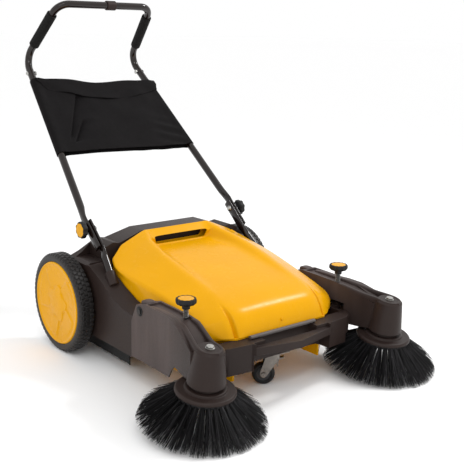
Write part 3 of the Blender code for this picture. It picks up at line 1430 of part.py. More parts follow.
def make_leg(side):
    """A handle leg, flattened at the clamp and bored at its top for the bow."""
    flat = (FLAT_HALF_THICKNESS, FLAT_HALF_HEIGHT)
    rings = [
        oval(side * LEG_X, LEG_STUB, *flat),
        oval(side * LEG_X, LEG_FLAT_END, *flat),
        oval(side * leg_x(LEG_ROUND_START), LEG_ROUND_START, TUBE_RADIUS, TUBE_RADIUS),
        oval(side * leg_x(LEG_END), LEG_END, TUBE_RADIUS, TUBE_RADIUS, side * LEG_LEAN_IN),
    ]
    leg = loft(f"handle_leg_{SIDE_NAMES[side]}", rings)
    through = 2 * TUBE_RADIUS
    low = SPIGOT_START - SPIGOT_END_GAP
    bore_start = (side * leg_x(low), low, 0)
    bore_end = (side * leg_x(LEG_END + through), LEG_END + through, 0)
    cut(leg, rod(f"leg_spigot_bore_{side}", SPIGOT_RADIUS + SEAT_GAP, bore_start, bore_end))
    cut(leg, rod(f"leg_clamp_bore_{side}", CLAMP_BOLT_RADIUS + SEAT_GAP,
                 (side * (LEG_X - through), 0, 0), (side * (LEG_X + through), 0, 0), SMALL_SEGMENTS))
    cut(leg, rod(f"leg_bolt_bore_{side}", BOLT_RADIUS + SEAT_GAP,
                 (side * (BOW_BOLT_X - through), BOW_BOLT_S, 0),
                 (side * (BOW_BOLT_X + through), BOW_BOLT_S, 0), SMALL_SEGMENTS))
    return leg


def bow_corners():
    """The corners of the bow in the handle's frame, from the left leg to the right leg."""
    start = LEG_END + SEAT_GAP
    right = [
        (leg_x(start), start, 0),
        (leg_x(BOW_CORNER_S), BOW_CORNER_S, 0),
        (BOW_TOP_X, BOW_TOP_S, BOW_TOP_N),
    ]
    left = [(-x, s, n) for x, s, n in right]
    return left + right[::-1]


def bow_path():
    radii = (BOW_CORNER_RADIUS, BOW_TOP_RADIUS, BOW_TOP_RADIUS, BOW_CORNER_RADIUS)
    return rounded_path(bow_corners(), radii)


def make_bow():
    """The bent upper handle, with a spigot down into each leg."""
    bow = tube("handle_bow", bow_path(), TUBE_RADIUS)
    for side in (-1, 1):
        start = (side * leg_x(SPIGOT_START), SPIGOT_START, 0)
        root = LEG_END + SPIGOT_ROOT
        end = (side * leg_x(root), root, 0)
        join(bow, rod(f"bow_spigot_{side}", SPIGOT_RADIUS, start, end, SMALL_SEGMENTS))
        cut(bow, rod(f"bow_bolt_bore_{side}", BOLT_RADIUS + SEAT_GAP,
                     (side * (BOW_BOLT_X - 2 * TUBE_RADIUS), BOW_BOLT_S, 0),
                     (side * (BOW_BOLT_X + 2 * TUBE_RADIUS), BOW_BOLT_S, 0), SMALL_SEGMENTS))
    return bow


def sleeve(name, start, end, radius):
    """A soft sleeve around the bow between two points of its centre line."""
    start, end = Vector(start), Vector(end)
    length = (end - start).length
    bore = TUBE_RADIUS + SEAT_GAP
    edge = (radius - bore) / 2
    profile = [
        (radius - edge, length),
        (radius, length - edge),
        (radius, edge),
        (radius - edge, 0),
        (bore, 0),
        (bore, length),
    ]
    turn = (end - start).to_track_quat("Z", "Y").to_matrix().to_4x4()
    return turned(name, profile, ROUND_SEGMENTS, Matrix.Translation(start) @ turn, closed=True)


def make_grip(side):
    corner = Vector((side * leg_x(BOW_CORNER_S), BOW_CORNER_S, 0))
    top = Vector((side * BOW_TOP_X, BOW_TOP_S, BOW_TOP_N))
    return sleeve(f"grip_{SIDE_NAMES[side]}", corner.lerp(top, GRIP_LOW_N / BOW_TOP_N),
                  corner.lerp(top, GRIP_HIGH_N / BOW_TOP_N), GRIP_RADIUS)


def make_bow_bolt(side):
    """The screw through a leg and the bow's spigot, with its nut on the inside."""
    off_tube = TUBE_RADIUS + SEAT_GAP + BOLT_HEAD_RADIUS * LEG_LEAN_IN
    outer = BOW_BOLT_X + off_tube
    inner = BOW_BOLT_X - off_tube
    profile = [
        (0, outer + BOLT_HEAD_HEIGHT),
        (BOLT_HEAD_RADIUS / 2, outer + BOLT_HEAD_HEIGHT),
        (BOLT_HEAD_RADIUS, outer),
        (BOLT_RADIUS, outer),
        (BOLT_RADIUS, inner),
        (BOLT_HEAD_RADIUS, inner),
        (BOLT_HEAD_RADIUS, inner - BOLT_HEAD_HEIGHT),
        (0, inner - BOLT_HEAD_HEIGHT),
    ]
    return turned(f"bow_bolt_{SIDE_NAMES[side]}", profile, SMALL_SEGMENTS,
                  axle_line(side, BOW_BOLT_S, 0))


def make_bag():
    """The cloth bag between the legs, as a flat pillow with a sleeve round each leg."""
    low = leg_x(BAG_BOTTOM_S) + BAG_MARGIN
    high = leg_x(BAG_TOP_S) + BAG_MARGIN
    outline = [(-low, BAG_BOTTOM_S), (low, BAG_BOTTOM_S), (high, BAG_TOP_S), (-high, BAG_TOP_S)]
    bag = prism("bag", [outline], "Z", -BAG_HALF_THICKNESS, BAG_HALF_THICKNESS)
    for side in (-1, 1):
        start, end = BAG_BOTTOM_S - 2 * TUBE_RADIUS, BAG_TOP_S + 2 * TUBE_RADIUS
        cut(bag, rod(f"bag_sleeve_{side}", TUBE_RADIUS + SEAT_GAP, (side * leg_x(start), start, 0),
                     (side * leg_x(end), end, 0)))
    return bag


def clamp_base():
    """How far out the face that a clamp knob presses on lies."""
    return LEG_X + FLAT_HALF_THICKNESS + SEAT_GAP


def make_clamp_bolt(side):
    head = LOWER_TUBE_X - FLAT_HALF_THICKNESS - SEAT_GAP
    end = clamp_base() + CLAMP_KNOB_LENGTH - CLAMP_KNOB_END_WALL - SEAT_GAP
    profile = [
        (0, end),
        (CLAMP_BOLT_RADIUS, end),
        (CLAMP_BOLT_RADIUS, head),
        (CLAMP_HEAD_RADIUS, head),
        (CLAMP_HEAD_RADIUS / 2, head - CLAMP_HEAD_HEIGHT),
        (0, head - CLAMP_HEAD_HEIGHT),
    ]
    return turned(f"clamp_bolt_{SIDE_NAMES[side]}", profile, SMALL_SEGMENTS,
                  axle_line(side, HANDLE_Y, HANDLE_Z))


def make_clamp_knob(side):
    """The hand knob outside a leg, drawn from the face that it presses on."""
    bore = CLAMP_BOLT_RADIUS + SEAT_GAP
    edge = CLAMP_NECK_LENGTH / 2
    profile = [
        (0, CLAMP_KNOB_LENGTH),
        (CLAMP_KNOB_RADIUS - 2 * edge, CLAMP_KNOB_LENGTH),
        (CLAMP_KNOB_RADIUS, CLAMP_KNOB_LENGTH - 2 * edge),
        (CLAMP_KNOB_RADIUS, CLAMP_NECK_LENGTH + edge),
        (CLAMP_KNOB_RADIUS - edge, CLAMP_NECK_LENGTH),
        (CLAMP_NECK_RADIUS, CLAMP_NECK_LENGTH),
        (CLAMP_NECK_RADIUS, 0),
        (bore, 0),
        (bore, CLAMP_KNOB_LENGTH - CLAMP_KNOB_END_WALL),
        (0, CLAMP_KNOB_LENGTH - CLAMP_KNOB_END_WALL),
    ]
    return turned(f"clamp_knob_{SIDE_NAMES[side]}", profile, ROUND_SEGMENTS)


# Hopper

def make_lid():
    """The hopper's cover, a thin shell over the rows, cut level at its foot."""
    shape = bmesh.new()
    rows = []
    for row in LID_ROWS:
        middle, panel, ridge, *outer = row
        crease, sill = [(BAY_HALF_WIDTH - x, y, z) for x, y, z in outer]
        foot = (sill[0], sill[1], BUMPER_TOP - LID_THICKNESS)
        half = [panel, ridge, crease, sill, foot]
        points = [(-x, y, z) for x, y, z in reversed(half)] + [middle] + half
        rows.append([shape.verts.new(point) for point in points])
    for row, ahead in zip(rows, rows[1:]):
        for i in range(len(row) - 1):
            shape.faces.new((row[i], ahead[i], ahead[i + 1], row[i + 1]))
    bmesh.ops.remove_doubles(shape, verts=shape.verts, dist=MERGE)
    drawn = from_bmesh("hopper_lid", shape)
    shell = drawn.modifiers.new("Solidify", "SOLIDIFY")
    shell.thickness = LID_THICKNESS
    shell.offset = -1
    lid = settled(drawn)
    floor = TUB_RIM_TOP + LID_FOOT_GAP
    cut(lid, box("lid_foot_plane", (-BODY_HALF_WIDTH, HOOD_REAR, 0),
                 (BODY_HALF_WIDTH, BUMPER_BAR_FRONT, floor)))
    cut(lid, roller_space("lid_roller_space", BODY_HALF_WIDTH))
    cut(lid, box("lid_slot", (-LID_SLOT_HALF, LID_SLOT_REAR, LID_SLOT_LOW),
                 (LID_SLOT_HALF, LID_SLOT_FRONT, LID_SLOT_TOP)))
    return lid


def make_tub():
    """The dirt tub under the lid, open at its rear and top and stepped over the caster."""
    wall = TUB_WALL
    rim_bottom = BUMPER_TOP + SEAT_GAP
    plan = mirrored([(TUB_HALF_WIDTH, TUB_REAR), *TUB_CORNERS])
    inner = inset(plan, wall)
    open_inner = [(x, TUB_REAR + wall if y > TUB_REAR - 2 * wall else y) for x, y in inner]
    tub = prism("hopper_tub", [plan], "Z", TUB_BOTTOM, TUB_RIM_TOP - wall / 3)
    cut(tub, box("caster_bay", (-CASTER_BAY_HALF, TUB_FRONT - wall, TUB_BOTTOM - wall),
                 (CASTER_BAY_HALF, CASTER_BAY_REAR, CASTER_BAY_TOP)))
    edge = mirrored([(TUB_RIM_HALF_WIDTH, TUB_REAR - wall / 3), *TUB_RIM_CORNERS])
    rim = prism("tub_rim", [edge, inset(plan, wall / 2)], "Z", rim_bottom, TUB_RIM_TOP)
    join(tub, rim)
    hollow = prism("tub_hollow", [open_inner], "Z", TUB_BOTTOM + wall, TUB_RIM_TOP + wall)
    cut(hollow, box("caster_bay_wall", (-CASTER_BAY_HALF - wall, TUB_FRONT - wall, TUB_BOTTOM - wall),
                    (CASTER_BAY_HALF + wall, CASTER_BAY_REAR + wall, CASTER_BAY_TOP + wall)))
    return cut(tub, hollow)


# The whole machine

SIDE_NAMES = {-1: "left", 1: "right"}


def axle_y():
    """How far behind the origin the axle lies, with the origin under the middle of the outline."""
    front = BRUSH_Y - BRUSH_RADIUS * math.cos(LEAN) + BRUSH_DROP * math.sin(LEAN)
    rear = max((handle_frame() @ point).y for point in bow_path()) + TUBE_RADIUS
    return -(front + rear) / 2


def build():
    global parts, cutters
    clear_scene()
    parts = new_collection("floor_sweeper")
    cutters = new_collection("cutters")

    yellow = paint("yellow_plastic", (0.88, 0.44, 0.012), 0.35)
    body_brown = paint("dark_plastic", (0.050, 0.038, 0.035), 0.5)
    rubber = paint("black_rubber", (0.012, 0.012, 0.012), 0.8)
    bristle = paint("black_bristle", (0.008, 0.008, 0.008), 0.6)
    steel = paint("painted_tube", (0.042, 0.034, 0.030), 0.3, 0.4)
    zinc = paint("zinc_steel", (0.65, 0.65, 0.62), 0.3, 1.0)
    foam = paint("black_foam", (0.015, 0.015, 0.016), 0.9)
    cloth = paint("black_cloth", (0.016, 0.015, 0.016), 0.95)
    nylon = paint("grey_nylon", (0.20, 0.20, 0.20), 0.5)

    root = body("sweeper", Matrix.Identity(4))
    chassis = make_chassis()
    bumper = make_bumper()
    plate = make_caster_plate()
    rear_skirt = make_rear_skirt()
    carry(root, chassis, bumper, plate, rear_skirt)
    coat(body_brown, chassis, bumper)
    coat(rubber, rear_skirt)
    coat(zinc, plate)

    roller_body = body("roller_spin", Matrix.Translation((0, ROLLER_Y, ROLLER_Z)), root)
    shaft = make_shaft()
    roller = make_roller()
    fit(roller_body, shaft, roller)
    coat(zinc, shaft)
    coat(bristle, roller)

    handle_body = body("handle_fold", handle_frame(), root)
    bow = make_bow()
    bag = make_bag()
    half_sleeve = SLEEVE_LENGTH / 2
    bar_sleeve = sleeve("bar_sleeve", (SLEEVE_CENTRE - half_sleeve, BOW_TOP_S, BOW_TOP_N),
                        (SLEEVE_CENTRE + half_sleeve, BOW_TOP_S, BOW_TOP_N), SLEEVE_RADIUS)
    fit(handle_body, bow, bag, bar_sleeve)
    coat(steel, bow)
    coat(cloth, bag)
    coat(body_brown, bar_sleeve)

    hopper_body = body("hopper_lift", Matrix.Translation((0, HOOD_FRONT, HOOD_TOP)), root)
    lid = make_lid()
    tub = make_tub()
    carry(hopper_body, lid, tub)
    coat(yellow, lid, tub)

    caster_body = body("caster_swivel", caster_frame(), root)
    fork, fork_half = make_fork()
    caster_axle = make_caster_axle(fork_half)
    fit(caster_body, fork, caster_axle)
    caster_wheel_body = body("caster_roll", caster_frame() @ caster_axis(), caster_body)
    caster_wheel = make_caster_wheel()
    caster_wheel.parent = caster_wheel_body
    caster_wheel.matrix_parent_inverse = caster_axis().inverted()
    brake_body = body("brake_press", caster_frame() @ Matrix.Translation((0, BRAKE_Y, BRAKE_Z)),
                      caster_body)
    brake = make_brake(fork_half)
    brake.parent = brake_body
    brake.matrix_parent_inverse = Matrix.Translation((0, BRAKE_Y, BRAKE_Z)).inverted()
    coat(zinc, fork, caster_axle, brake)
    coat(rubber, caster_wheel)

    for side, name in SIDE_NAMES.items():
        stub = make_stub_axle(side)
        bush = make_bush(side)
        skirt = make_side_skirt(side)
        pin = make_arm_pin(side)
        lower = make_lower_tube(side)
        clamp_bolt = make_clamp_bolt(side)
        belt = make_belt(side)
        carry(root, stub, bush, skirt, pin, lower, clamp_bolt, belt)
        coat(zinc, stub, pin, clamp_bolt)
        coat(nylon, bush)
        coat(rubber, skirt, belt)
        coat(steel, lower)

        wheel_body = body(f"wheel_{name}_spin", wheel_frame(side, WHEEL_PLANE, 0, WHEEL_RADIUS), root)
        tyre = make_tyre(side)
        hub = make_hub(side)
        fit(wheel_body, tyre, hub)
        coat(rubber, tyre)
        coat(yellow, hub)

        pinion_body = body(f"pinion_{name}_spin", wheel_frame(side, GEAR_PLANE, ROLLER_Y, ROLLER_Z), root)
        pinion = make_pinion(side)
        fit(pinion_body, pinion)
        coat(nylon, pinion)
        pulley = make_drive_pulley(side)
        fit(roller_body, pulley)
        coat(nylon, pulley)

        arm_body = body(f"arm_{name}_raise", Matrix.Translation((side * ARM_OUTER, PIVOT_Y, PIVOT_Z)), root)
        arm = make_arm(side)
        spring = make_spring(side)
        carry(arm_body, arm, spring)
        coat(body_brown, arm)
        coat(zinc, spring)
        knob_place = Matrix.Translation((side * ADJUSTER_X, ADJUSTER_Y, KNOB_UNDERSIDE))
        adjuster_body = body(f"adjuster_{name}_turn", knob_place, arm_body)
        adjuster = make_adjuster(side)
        carry(adjuster_body, adjuster)
        coat(yellow, adjuster)
        brush_body = body(f"side_brush_{name}_spin", brush_frame(side), arm_body)
        spindle = make_spindle(side)
        flange = make_flange(side)
        bristles = make_bristles(side)
        brush_pulley = make_brush_pulley(side)
        fit(brush_body, spindle, flange, bristles, brush_pulley)
        coat(zinc, spindle)
        coat(body_brown, flange)
        coat(bristle, bristles)
        coat(nylon, brush_pulley)

        leg = make_leg(side)
        grip = make_grip(side)
        bow_bolt = make_bow_bolt(side)
        fit(handle_body, leg, grip, bow_bolt)
        coat(steel, leg)
        coat(foam, grip)
        coat(zinc, bow_bolt)
        clamp_body = body(f"clamp_{name}_turn", wheel_frame(side, clamp_base(), HANDLE_Y, HANDLE_Z), root)
        clamp_knob = make_clamp_knob(side)
        fit(clamp_body, clamp_knob)
        coat(yellow, clamp_knob)

    root.location.y = axle_y()


build()
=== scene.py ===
"""Dresses a manual floor sweeper: shaped skins, brushes, cloth and finishes over its solid model.

Lengths are in metres. Points are laid out from the wheel axle, like the solid model: X runs along
the axle, -Y points to the front and Z goes up from the floor. placed() then moves them to the
model's own origin. A side is -1 for the left and +1 for the right, the sign of its X. A mesh is a
pair of points and faces."""

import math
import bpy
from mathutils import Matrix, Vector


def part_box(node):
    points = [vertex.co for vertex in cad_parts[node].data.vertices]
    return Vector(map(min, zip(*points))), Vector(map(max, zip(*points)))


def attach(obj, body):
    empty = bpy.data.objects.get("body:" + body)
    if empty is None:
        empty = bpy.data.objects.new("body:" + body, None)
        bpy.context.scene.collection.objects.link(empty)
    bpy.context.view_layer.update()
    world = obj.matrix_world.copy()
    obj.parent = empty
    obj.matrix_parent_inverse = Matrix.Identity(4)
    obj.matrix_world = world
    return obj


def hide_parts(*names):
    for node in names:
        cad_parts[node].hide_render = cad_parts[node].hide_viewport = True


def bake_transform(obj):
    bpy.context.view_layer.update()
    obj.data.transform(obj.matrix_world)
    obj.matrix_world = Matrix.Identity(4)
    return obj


bl_info = {
    "name": "Floor Sweeper Dressing",
    "version": (1, 0, 0),
    "blender": (4, 5, 0),
    "location": "View3D > Sidebar > Sweeper",
    "description": "Builds the skins, brushes, cloth and finishes of a manual floor sweeper",
    "category": "Object",
}

import bmesh
import bpy
import numpy as np
from mathutils import Matrix, Vector

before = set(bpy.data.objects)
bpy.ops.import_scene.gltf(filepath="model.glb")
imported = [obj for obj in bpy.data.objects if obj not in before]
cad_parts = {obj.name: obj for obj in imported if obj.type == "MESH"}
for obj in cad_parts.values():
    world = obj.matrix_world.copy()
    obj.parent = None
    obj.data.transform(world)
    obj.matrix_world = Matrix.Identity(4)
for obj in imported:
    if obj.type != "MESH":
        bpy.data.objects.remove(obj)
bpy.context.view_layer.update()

SIDES = {"left": -1, "right": 1}
MM = 0.001
AXLE_X = 0.320
AXLE_Y = sum(corner.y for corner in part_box("tyre_left")) / 2
MERGE = 0.000002
# Corners of a solid's triangles this close are welded, and faces this flat are made one
WELD = 20 * MERGE
FLAT_ANGLE = math.radians(0.6)
# How far the rounded end of a tube stands out, as a share of its radius
CAP_RISE = 0.15
RANDOM_SEED = 7


# Sizes and colours that a user would change

def length(name, description, default):
    """A length in metres for the panel."""
    return bpy.props.FloatProperty(name=name, description=description, default=default,
                                   unit="LENGTH", subtype="DISTANCE", precision=4)


def linear(code):
    """An sRGB hex colour as linear red, green and blue."""
    channels = np.array(list(bytes.fromhex(code))) / 255
    low = channels / 12.92
    high = ((channels + 0.055) / 1.055) ** 2.4
    return tuple(np.where(channels <= 0.04045, low, high).tolist())


def colour(name, description, code):
    """A colour for the panel, given as an sRGB hex code."""
    return bpy.props.FloatVectorProperty(name=name, description=description, subtype="COLOR",
                                         size=3, min=0, max=1, default=linear(code))


class SweeperSizes(bpy.types.PropertyGroup):
    wheel_radius: length("Wheel radius", "Axle to the top of the tread", 0.1407)
    hub_radius: length("Disc radius", "Radius of the yellow wheel disc", 0.1175)
    wheel_width: length("Wheel width", "Width over the wheel disc", 0.048)
    tread_depth: length("Tread depth", "Height of the tread's blocks", 0.0026)
    brush_radius: length("Side brush radius", "Axis to the bristle tips", 0.1548)
    brush_drop: length("Side brush drop", "Flange top to the bristle tips along the spindle", 0.0849)
    bristle: length("Bristle", "Radius of one bristle", 0.00075)
    tube: length("Tube radius", "Radius of the handle's tube", 0.011)
    grip: length("Grip radius", "Radius of the foam grips", 0.0155)
    cloth: length("Cloth thickness", "Thickness of the bag's cloth with its coating", 0.0009)
    lid_wall: length("Lid wall", "Wall of the hopper's lid", 0.004)


class SweeperColours(bpy.types.PropertyGroup):
    yellow: colour("Yellow plastic", "Hopper, wheel discs and knob caps", "E0A004")
    brown: colour("Brown-grey plastic", "Chassis, arms and bumper", "2D2320")
    tyre: colour("Tyre", "Tyre rubber", "1B1817")
    rubber: colour("Black rubber", "Skirts and caster tyre", "121213")
    tube: colour("Tube paint", "Powder coat of the handle", "170E0B")
    foam: colour("Foam", "Grips", "131212")
    cloth: colour("Cloth", "Bag", "131112")
    bristle: colour("Bristle", "Side brushes and roller", "090909")
    zinc: colour("Zinc", "Bolts, springs and caster fork", "B9B8B4")
    nylon: colour("Nylon", "Bushes, pinions and pulleys", "7A7A7A")
    floor: colour("Floor", "Plain pale floor", "FFFFFF")


def sizes():
    """The sizes set in the panel."""
    return bpy.context.scene.sweeper_sizes


def tint(name, factor=1.0):
    """One of the panel's colours by its name, or else an sRGB hex colour, made lighter or darker by
    a factor, as linear red, green, blue and alpha."""
    known = name in SweeperColours.__annotations__
    base = getattr(bpy.context.scene.sweeper_colours, name) if known else linear(name)
    return (*(min(1.0, channel * factor) for channel in base), 1.0)


# Meshes

def placed(points):
    """Machine points as points of the model's own frame."""
    return np.asarray(points, float) + (0, AXLE_Y, 0)


def turned_into(matrix, points):
    """Points of a tilted frame as machine points."""
    matrix = np.array(matrix)
    return points @ matrix[:3, :3].T + matrix[:3, 3]


def smoothstep(low, high, value):
    """A share that rises from 0 at low to 1 at high along a smooth S."""
    share = np.clip((np.asarray(value, float) - low) / (high - low), 0, 1)
    return share * share * (3 - 2 * share)


def circle(steps):
    """The angles of evenly spaced points round a full turn."""
    return np.linspace(0, 2 * math.pi, steps, endpoint=False)


def around(radius, angle, height):
    """Points at a radius and an angle round Z, at a height."""
    radius, angle, height = np.broadcast_arrays(radius, angle, height)
    return np.stack((radius * np.cos(angle), radius * np.sin(angle), height), -1)


def squared(wave, power):
    """A wave raised to a power with its sign kept, which turns an ellipse into a superellipse."""
    return np.sign(wave) * np.abs(wave) ** power


def unit(vectors):
    """Vectors divided by their lengths."""
    return vectors / np.linalg.norm(vectors, axis=-1, keepdims=True)


def as_lists(faces):
    """Faces as lists of corners, whether or not they come as an array."""
    return faces.tolist() if isinstance(faces, np.ndarray) else faces


def grid_faces(rows, columns, close_rows=False, close_columns=False):
    """The quads between neighbouring points of a grid."""
    i, j = np.meshgrid(np.arange(rows if close_rows else rows - 1),
                       np.arange(columns if close_columns else columns - 1), indexing="ij")
    after_i, after_j = (i + 1) % rows, (j + 1) % columns
    corners = (i * columns + j, after_i * columns + j, after_i * columns + after_j,
               i * columns + after_j)
    return np.stack(corners, -1).reshape(-1, 4)


def linked(name, data):
    """An object of the scene that holds the data."""
    made = bpy.data.objects.new(name, data)
    bpy.context.scene.collection.objects.link(made)
    return made


def new_piece(name, mesh, sharp=40.0, closed=True, values=None, uv=None):
    """An object from a mesh of machine points. values are numbers kept at the points under the
    name shade, and uv the points' places on the flat cloth, in metres."""
    points, faces = mesh
    data = bpy.data.meshes.new(name)
    data.from_pydata(placed(np.reshape(points, (-1, 3))).tolist(), [], as_lists(faces))
    if values is not None:
        data.attributes.new("shade", "FLOAT", "POINT").data.foreach_set("value", np.ravel(values))
    if uv is not None:
        corner = np.zeros(len(data.loops), int)
        data.loops.foreach_get("vertex_index", corner)
        layer = data.uv_layers.new(name="cloth")
        layer.data.foreach_set("uv", np.reshape(uv, (-1, 2))[corner].ravel())
    shape = bmesh.new()
    shape.from_mesh(data)
    bmesh.ops.remove_doubles(shape, verts=shape.verts, dist=MERGE)
    if closed:
        bmesh.ops.recalc_face_normals(shape, faces=shape.faces)
    shape.to_mesh(data)
    shape.free()
    data.shade_smooth()
    data.set_sharp_from_angle(angle=math.radians(sharp))
    return linked(name, data)


def joined(*meshes):
    """Several meshes as one."""
    points, faces, start = [], [], 0
    for part_points, part_faces in meshes:
        points.append(part_points)
        faces += [[corner + start for corner in face] for face in as_lists(part_faces)]
        start += len(part_points)
    return np.concatenate(points), faces


def lathe(profile, steps, matrix, wobble=None):
    """A turned shape: the profile's (radius, height) points carried round the frame's Z. A profile
    that starts and ends on the axis is closed by its two poles, any other is closed on itself.
    wobble gives a share that the radius is changed by, from the angle and the profile points."""
    profile = np.asarray(profile, float)
    angle = circle(steps)[:, None]
    radius = np.broadcast_to(profile[:, 0], (steps, len(profile)))
    if wobble is not None:
        radius = radius * (1 + wobble(angle, profile))
    points = around(radius, angle, profile[:, 1])
    on_axis = profile[0, 0] < MERGE and profile[-1, 0] < MERGE
    faces = grid_faces(steps, len(profile), True, not on_axis)
    return turned_into(matrix, points.reshape(-1, 3)), faces


def rounded(points, reach, bend=6, straight=3):
    """A smooth line through corners, taken along the first axis of an array of points: each inner
    corner becomes the parabola that leaves one edge and meets the next reach away from the corner,
    or half way along a shorter edge."""
    points = np.asarray(points, float)
    reach = np.broadcast_to(reach, (len(points),))
    column = (slice(None),) + (None,) * (points.ndim - 1)
    share = np.linspace(0, 1, bend + 1)[column]
    along = np.linspace(0, 1, straight + 2)[1:-1][column]
    line, last = [points[:1]], points[0]
    for before, corner, after, room in zip(points, points[1:], points[2:], reach[1:]):
        ends = []
        for other in (before, after):
            edge = other - corner
            size = np.maximum(np.linalg.norm(edge, axis=-1, keepdims=True), MERGE)
            ends.append(corner + edge * np.minimum(room / size, 0.5))
        line.append(last + (ends[0] - last) * along)
        line.append(parabola(ends[0], corner, ends[1], share))
        last = ends[1]
    line.append(last + (points[-1] - last) * along)
    line.append(points[-1:])
    return np.concatenate(line)


def parabola(start, bend, end, share):
    """The curve that leaves the start and reaches the end along lines to and from the bend."""
    return start * (1 - share) ** 2 + 2 * bend * share * (1 - share) + end * share ** 2


def turned(name, outline, reach, bend, straight, steps, matrix, wobble=None):
    """A turned piece from its outline's (radius, height) corners, rounded by reach. An outline that
    doesn't start on the axis runs round a ring, back to its first corner."""
    ring = outline[0][0] > MERGE
    line = rounded(outline + outline[:1] if ring else outline, reach, bend, straight)
    return new_piece(name, lathe(line[:-1] if ring else line, steps, matrix, wobble))


def carried(path, radii, sides=20):
    """A tube along a path. Its rings are ellipses with the two half sizes in radii, turned from one
    point to the next by the smallest turn; the ends are closed by a rounded cap."""
    path = np.asarray(path, float)
    radii = np.broadcast_to(radii, (len(path), 2)).astype(float)
    heading = unit(np.gradient(path, axis=0))
    across = np.zeros_like(path)
    across[0] = unit(np.cross(heading[0], (0, 1, 0) if abs(heading[0][1]) < 0.9 else (1, 0, 0)))
    for i in range(1, len(path)):
        across[i] = unit(across[i - 1] - heading[i] * (across[i - 1] @ heading[i]))
    other = np.cross(heading, across)
    turn = circle(sides)
    ring = (across[:, None] * (radii[:, :1] * np.cos(turn))[..., None]
            + other[:, None] * (radii[:, 1:] * np.sin(turn))[..., None])
    quarter = np.linspace(0, math.pi / 2, 4)[:, None, None]
    cap = np.sin(quarter)
    rise = (1 - np.cos(quarter)) * radii.min() * CAP_RISE
    start = path[0] + ring[0] * cap - heading[0] * rise[::-1]
    end = path[-1] + ring[-1] * cap[::-1] + heading[-1] * rise
    points = np.concatenate((start[:-1], path[:, None] + ring, end[1:]))
    return points.reshape(-1, 3), grid_faces(len(points), sides, False, True)


def modify(piece, label, kind, **settings):
    """Adds a modifier with its settings."""
    made = piece.modifiers.new(label, kind)
    for name, value in settings.items():
        setattr(made, name, value)


def apply_modifiers(piece):
    """Keeps what the modifiers make as the piece's own mesh."""
    graph = bpy.context.evaluated_depsgraph_get()
    made = bpy.data.meshes.new_from_object(piece.evaluated_get(graph))
    piece.modifiers.clear()
    piece.data = made


def copied(node, name, edge, segments=3, angle=28.0):
    """The node's own form as a new object: its triangles merged into flat faces and its edges
    rounded by a Bevel."""
    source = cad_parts[node].data
    points = np.zeros(len(source.vertices) * 3)
    source.vertices.foreach_get("co", points)
    triangles = np.zeros(len(source.loops), int)
    source.loops.foreach_get("vertex_index", triangles)
    data = bpy.data.meshes.new(name)
    data.from_pydata(points.reshape(-1, 3).tolist(), [], triangles.reshape(-1, 3).tolist())
    shape = bmesh.new()
    shape.from_mesh(data)
    bmesh.ops.remove_doubles(shape, verts=shape.verts, dist=WELD)
    bmesh.ops.dissolve_limit(shape, angle_limit=FLAT_ANGLE, verts=shape.verts,
                             edges=shape.edges)
    shape.to_mesh(data)
    shape.free()
    data.shade_smooth()
    piece = linked(name, data)
    modify(piece, "Edges", "BEVEL", width=edge, segments=segments, limit_method="ANGLE",
           angle_limit=math.radians(angle), miter_outer="MITER_ARC")
    modify(piece, "Flats", "WEIGHTED_NORMAL", keep_sharp=True)
    return piece


def finish_piece(piece, slot, look=None):
    """Gives a piece the finish of its slot, or of another look."""
    piece.data.materials.clear()
    piece.data.materials.append(finish(look or slot))


def dress(piece, body, slot, *nodes, look=None):
    """Gives a piece its finish and its body, and hides the CAD nodes that it stands for."""
    finish_piece(piece, slot, look)
    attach(piece, body)
    if nodes:
        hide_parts(*nodes)


# Frames of the solid model that shapes are drawn in

def wheel_frame(side, x, y, z):
    """A frame whose Z points out of the machine along the axle."""
    return Matrix.Translation((side * x, y, z)) @ Matrix.Rotation(side * math.pi / 2, 4, "Y")


BRUSH_LEAN = math.radians(7.5)
BRUSH_PLACE = (0.3052, -0.6436, 0.104879)


def brush_frame(side):
    """A side brush's frame: Z up its leaning spindle, from the top of the flange."""
    x, y, z = BRUSH_PLACE
    return Matrix.Translation((side * x, y, z)) @ Matrix.Rotation(BRUSH_LEAN, 4, "X")


HANDLE_Y = -0.044
HANDLE_Z = 0.352
LEG_SLOPE = math.radians(41.85)
LEG_X = 0.2596
BOW_BOLT_X = 0.1995
BOW_BOLT_S = 0.599
LEG_LEAN_IN = (LEG_X - BOW_BOLT_X) / BOW_BOLT_S


def in_handle(mesh):
    """A mesh of the handle's frame as machine points: X across, Y up the legs (S) and Z off their
    plane to the front (N)."""
    points, faces = mesh
    slope = Matrix.Translation((0, HANDLE_Y, HANDLE_Z)) @ Matrix.Rotation(LEG_SLOPE, 4, "X")
    return turned_into(slope, points), faces


def leg_x(s):
    """How far out a leg's centre line lies at a distance up from the clamp."""
    return LEG_X - LEG_LEAN_IN * s


CASTER_Y = -0.541
CASTER_TURN = math.radians(50.3)
CASTER_TRAIL = 0.028
CASTER_RADIUS = 0.030
CASTER_WIDTH = 0.022


def caster_axis():
    """A frame on the caster wheel's axle, Z along the axle."""
    swivel = Matrix.Translation((0, CASTER_Y, 0)) @ Matrix.Rotation(CASTER_TURN, 4, "Z")
    return (swivel @ Matrix.Translation((0, CASTER_TRAIL, CASTER_RADIUS))
            @ Matrix.Rotation(math.pi / 2, 4, "Y"))


# Finishes

SPECULAR = "Specular IOR Level"
# The places of a Mix node's two colours and of its result
UNDER, OVER, MIXED = 6, 7, 2
SOFT_CUT = (0.3, 0.7)
# The step at which the weave's bands repeat, drawn coarser than real cloth so that it shows
WEAVE_STEP = 4.901 * MM


